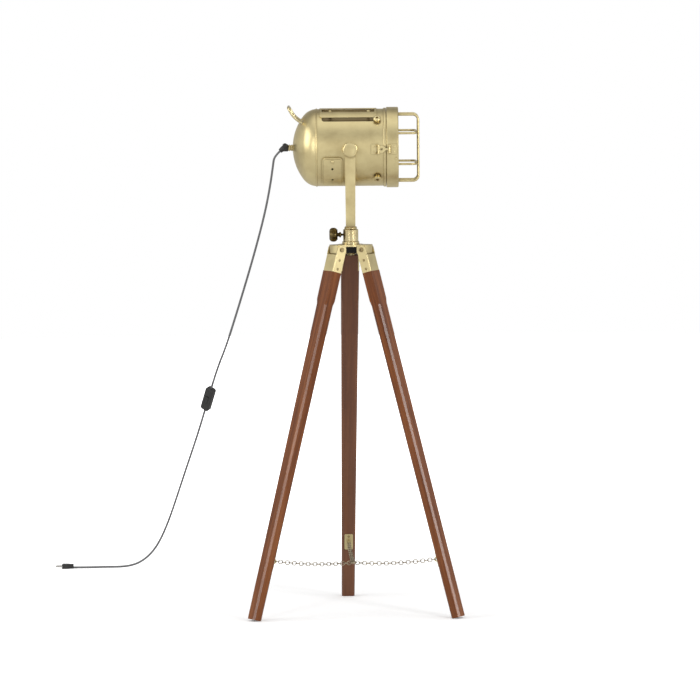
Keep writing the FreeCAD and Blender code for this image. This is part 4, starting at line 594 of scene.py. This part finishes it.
low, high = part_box("thumb_screw")
screw_middle = Vector((high.x, 0.0, (low.z + high.z) / 2))
knob_start = high.x - low.x - CLAMP_KNOB_DEEP
neck = [(NECK_R, 0.0, 0)] + [(radius, knob_start - before, 0) for radius, before in NECK]
rings = knob_rings((high.z - low.z) / 2, knob_start, CLAMP_KNOB_DEEP, CLAMP_KNOB_VALLEY,
                   CLAMP_KNOB_SOFT)
knob("collar_clamp_knob", [(neck, 1), (rings, LOBES)], screw_middle, (-1, 0, 0), BRASS_DEEP_SHADE,
     "collar_clamp", "thumb_screw")


# Painted shade: a dark web under the vent cover that closes the view through its upper slots ----


WEB_INSET = 0.002
WEB_TOP = 0.0035  # below the cover's top
WEB_BOTTOM = 0.0150  # below the cover's top
WEB_HALF = 0.0008  # half of its thickness
WEB_BEVEL = 0.0004


def vent_shade_web():
    low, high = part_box("vent_cover")
    x0, x1 = low.x + WEB_INSET, high.x - WEB_INSET
    top, bottom, half, bevel = high.z - WEB_TOP, high.z - WEB_BOTTOM, WEB_HALF, WEB_BEVEL
    outline = [(-half, top), (half, top), (half, bottom), (half - bevel, bottom - bevel),
               (-half + bevel, bottom - bevel), (-half, bottom)]
    verts = [Vector((x, y, z)) for x in (x0, x1) for y, z in outline]
    count = len(outline)
    faces = [(k, (k + 1) % count, count + (k + 1) % count, count + k) for k in range(count)]
    faces += [tuple(reversed(range(count))), tuple(range(count, 2 * count))]
    obj = new_mesh("vent_shade_web", verts, faces, BRASS_DARK)
    shade(obj, False)
    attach(obj, "head")


vent_shade_web()


# Painted shade: a black sheet between the hub's front arms, under its top disc -------------------


SHADE_SHEET_OUT = 0.0335  # from the hub's axis
SHADE_SHEET_HALF = 0.0165
SHADE_SHEET_DEEP = 0.0015
SHADE_SHEET_BEVEL = 0.0004
SHADE_SHEET_TOP = 1.0233
SHADE_SHEET_BOTTOM = 1.0062


def hub_shade_sheet():
    out, wide, deep, bevel = SHADE_SHEET_OUT, SHADE_SHEET_HALF, SHADE_SHEET_DEEP, SHADE_SHEET_BEVEL
    top, bottom = SHADE_SHEET_TOP, SHADE_SHEET_BOTTOM
    verts = []
    for y, inset in ((-out, bevel), (-out + bevel, 0.0), (-out + deep, 0.0)):
        for x, z in ((-wide, bottom), (wide, bottom), (wide, top), (-wide, top)):
            verts.append((x - math.copysign(inset, x), y, z + (inset if z == bottom else -inset)))
    faces = [(0, 1, 2, 3), (11, 10, 9, 8)]
    for ring in (0, 4):
        for k in range(4):
            a, b = ring + k, ring + (k + 1) % 4
            faces.append((a, a + 4, b + 4, b))
    turn = Matrix.Rotation(math.radians(LEG_AZIMUTHS["rear"] - 90.0), 3, "Z")
    obj = new_mesh("hub_shade_sheet", [turn @ Vector(v) for v in verts], faces, BLACK_SHADE_SHEET)
    shade(obj, False)
    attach(obj, "tripod")


hub_shade_sheet()


# Studio ----------------------------------------------------------------------------------------

scene.view_settings.view_transform = "Standard"


# Brightness in reflections, by the height of the direction: 0 is down, 1 is up.
REFLECTED = [(0.0, 0.75), (0.5, 0.80), (0.62, 0.74), (0.76, 0.47), (0.90, 0.47), (0.965, 1.12),
             (1.0, 1.25)]
REFLECTED_BEHIND = 0.62  # share that is left of it behind the object
SOFT_LIGHT = 0.74


def background():
    """White behind the object, softer light on it, light and shade in its reflections."""
    world = bpy.data.worlds.new("studio")
    scene.world = world
    world.use_nodes = True
    tree = world.node_tree
    tree.nodes.clear()

    def new(kind, **values):
        node = tree.nodes.new("ShaderNode" + kind)
        for key, value in values.items():
            socket = node.inputs[key.replace("_", " ")]
            if isinstance(value, bpy.types.NodeSocket):
                tree.links.new(value, socket)
            else:
                socket.default_value = value
        return node

    path = new("LightPath")
    way = new("SeparateXYZ", Vector=new("TexCoord").outputs["Generated"])
    height = new("MapRange", Value=way.outputs["Z"], From_Min=-1.0).outputs[0]
    ramp = new("ValToRGB", Fac=height)
    while len(ramp.color_ramp.elements) < len(REFLECTED):
        ramp.color_ramp.elements.new(0.5)
    for point, (place, value) in zip(ramp.color_ramp.elements, REFLECTED):
        point.position = place
        point.color = (*grey(value), 1)
    nearer = new("MapRange", Value=way.outputs["Y"], From_Min=-1.0, To_Min=1.0,
                 To_Max=REFLECTED_BEHIND).outputs[0]
    glossy = new("Background", Color=ramp.outputs["Color"], Strength=nearer)
    soft = new("Background", Color=(*grey(SOFT_LIGHT), 1))
    white = new("Background", Color=(1, 1, 1, 1))
    first = new("MixShader")
    tree.links.new(path.outputs["Is Glossy Ray"], first.inputs[0])
    tree.links.new(soft.outputs[0], first.inputs[1])
    tree.links.new(glossy.outputs[0], first.inputs[2])
    seen = tree.nodes.new("ShaderNodeMath")
    seen.operation = "MAXIMUM"
    tree.links.new(path.outputs["Is Camera Ray"], seen.inputs[0])
    tree.links.new(path.outputs["Is Transmission Ray"], seen.inputs[1])
    second = new("MixShader")
    tree.links.new(seen.outputs[0], second.inputs[0])
    tree.links.new(first.outputs[0], second.inputs[1])
    tree.links.new(white.outputs[0], second.inputs[2])
    out = tree.nodes.new("ShaderNodeOutputWorld")
    tree.links.new(second.outputs[0], out.inputs["Surface"])


LIT_POINT = Vector((0, 0, 0.9))


def softbox(name, place, size, watts, diffuse=1.0):
    """Area light aimed at the object; with diffuse 0 it only shows in reflections."""
    lamp = bpy.data.lights.new(name, "AREA")
    lamp.shape = "RECTANGLE"
    lamp.size, lamp.size_y = size
    lamp.energy = watts
    lamp.diffuse_factor = diffuse
    obj = link_in(bpy.data.objects.new(name, lamp))
    obj.location = place
    obj.rotation_euler = (LIT_POINT - obj.location).to_track_quat("-Z", "Y").to_euler()
    obj.visible_camera = False


FLOOR_RADIUS = 9
FLOOR_SIDES = 64
FLOOR_Z = -0.0005


def floor():
    """Pale floor that turns white away from the object and keeps the object's shadow."""
    mesh = bpy.data.meshes.new("floor")
    angles = [math.tau * k / FLOOR_SIDES for k in range(FLOOR_SIDES)]
    ring = [(FLOOR_RADIUS * math.cos(a), FLOOR_RADIUS * math.sin(a), FLOOR_Z) for a in angles]
    mesh.from_pydata(ring, [], [tuple(range(FLOOR_SIDES))])
    obj = link_in(bpy.data.objects.new("floor", mesh))
    s = Shader("floor_paper")
    at = s.coords()
    eye = s.add("LightPath").outputs["Is Camera Ray"]
    grain = s.noise(at, 40.0)
    bounced = s.ramp(grain, [(0, grey(0.60)), (1, grey(0.64))])
    seen = s.ramp(grain, [(0, grey(0.92)), (1, grey(0.93))])
    colour = s.mix(eye, bounced, seen)
    distance = s.add("VectorMath", {0: at}, operation="LENGTH").outputs["Value"]
    away = s.span(distance, 0.6, 2.5, 0.14, 1.2)
    s.set(Base_Color=colour, Roughness=0.9, Specular_IOR_Level=0.0, Emission_Color=(1, 1, 1, 1))
    s.set(Emission_Strength=s.add("Math", {0: away, 1: eye}, operation="MULTIPLY").outputs[0])
    obj.data.materials.append(s.material)


background()
floor()
softbox("key", (-4.8, -1.4, 3.2), (3.6, 3.6), 90)
softbox("fill", (4.6, -2.0, 2.4), (2.4, 2.8), 45)
softbox("strip_left", (-2.2, -4.6, 2.4), (0.4, 3.4), 29, 0.0)
softbox("strip_right", (3.0, -4.1, 2.4), (0.45, 3.4), 60, 0.0)
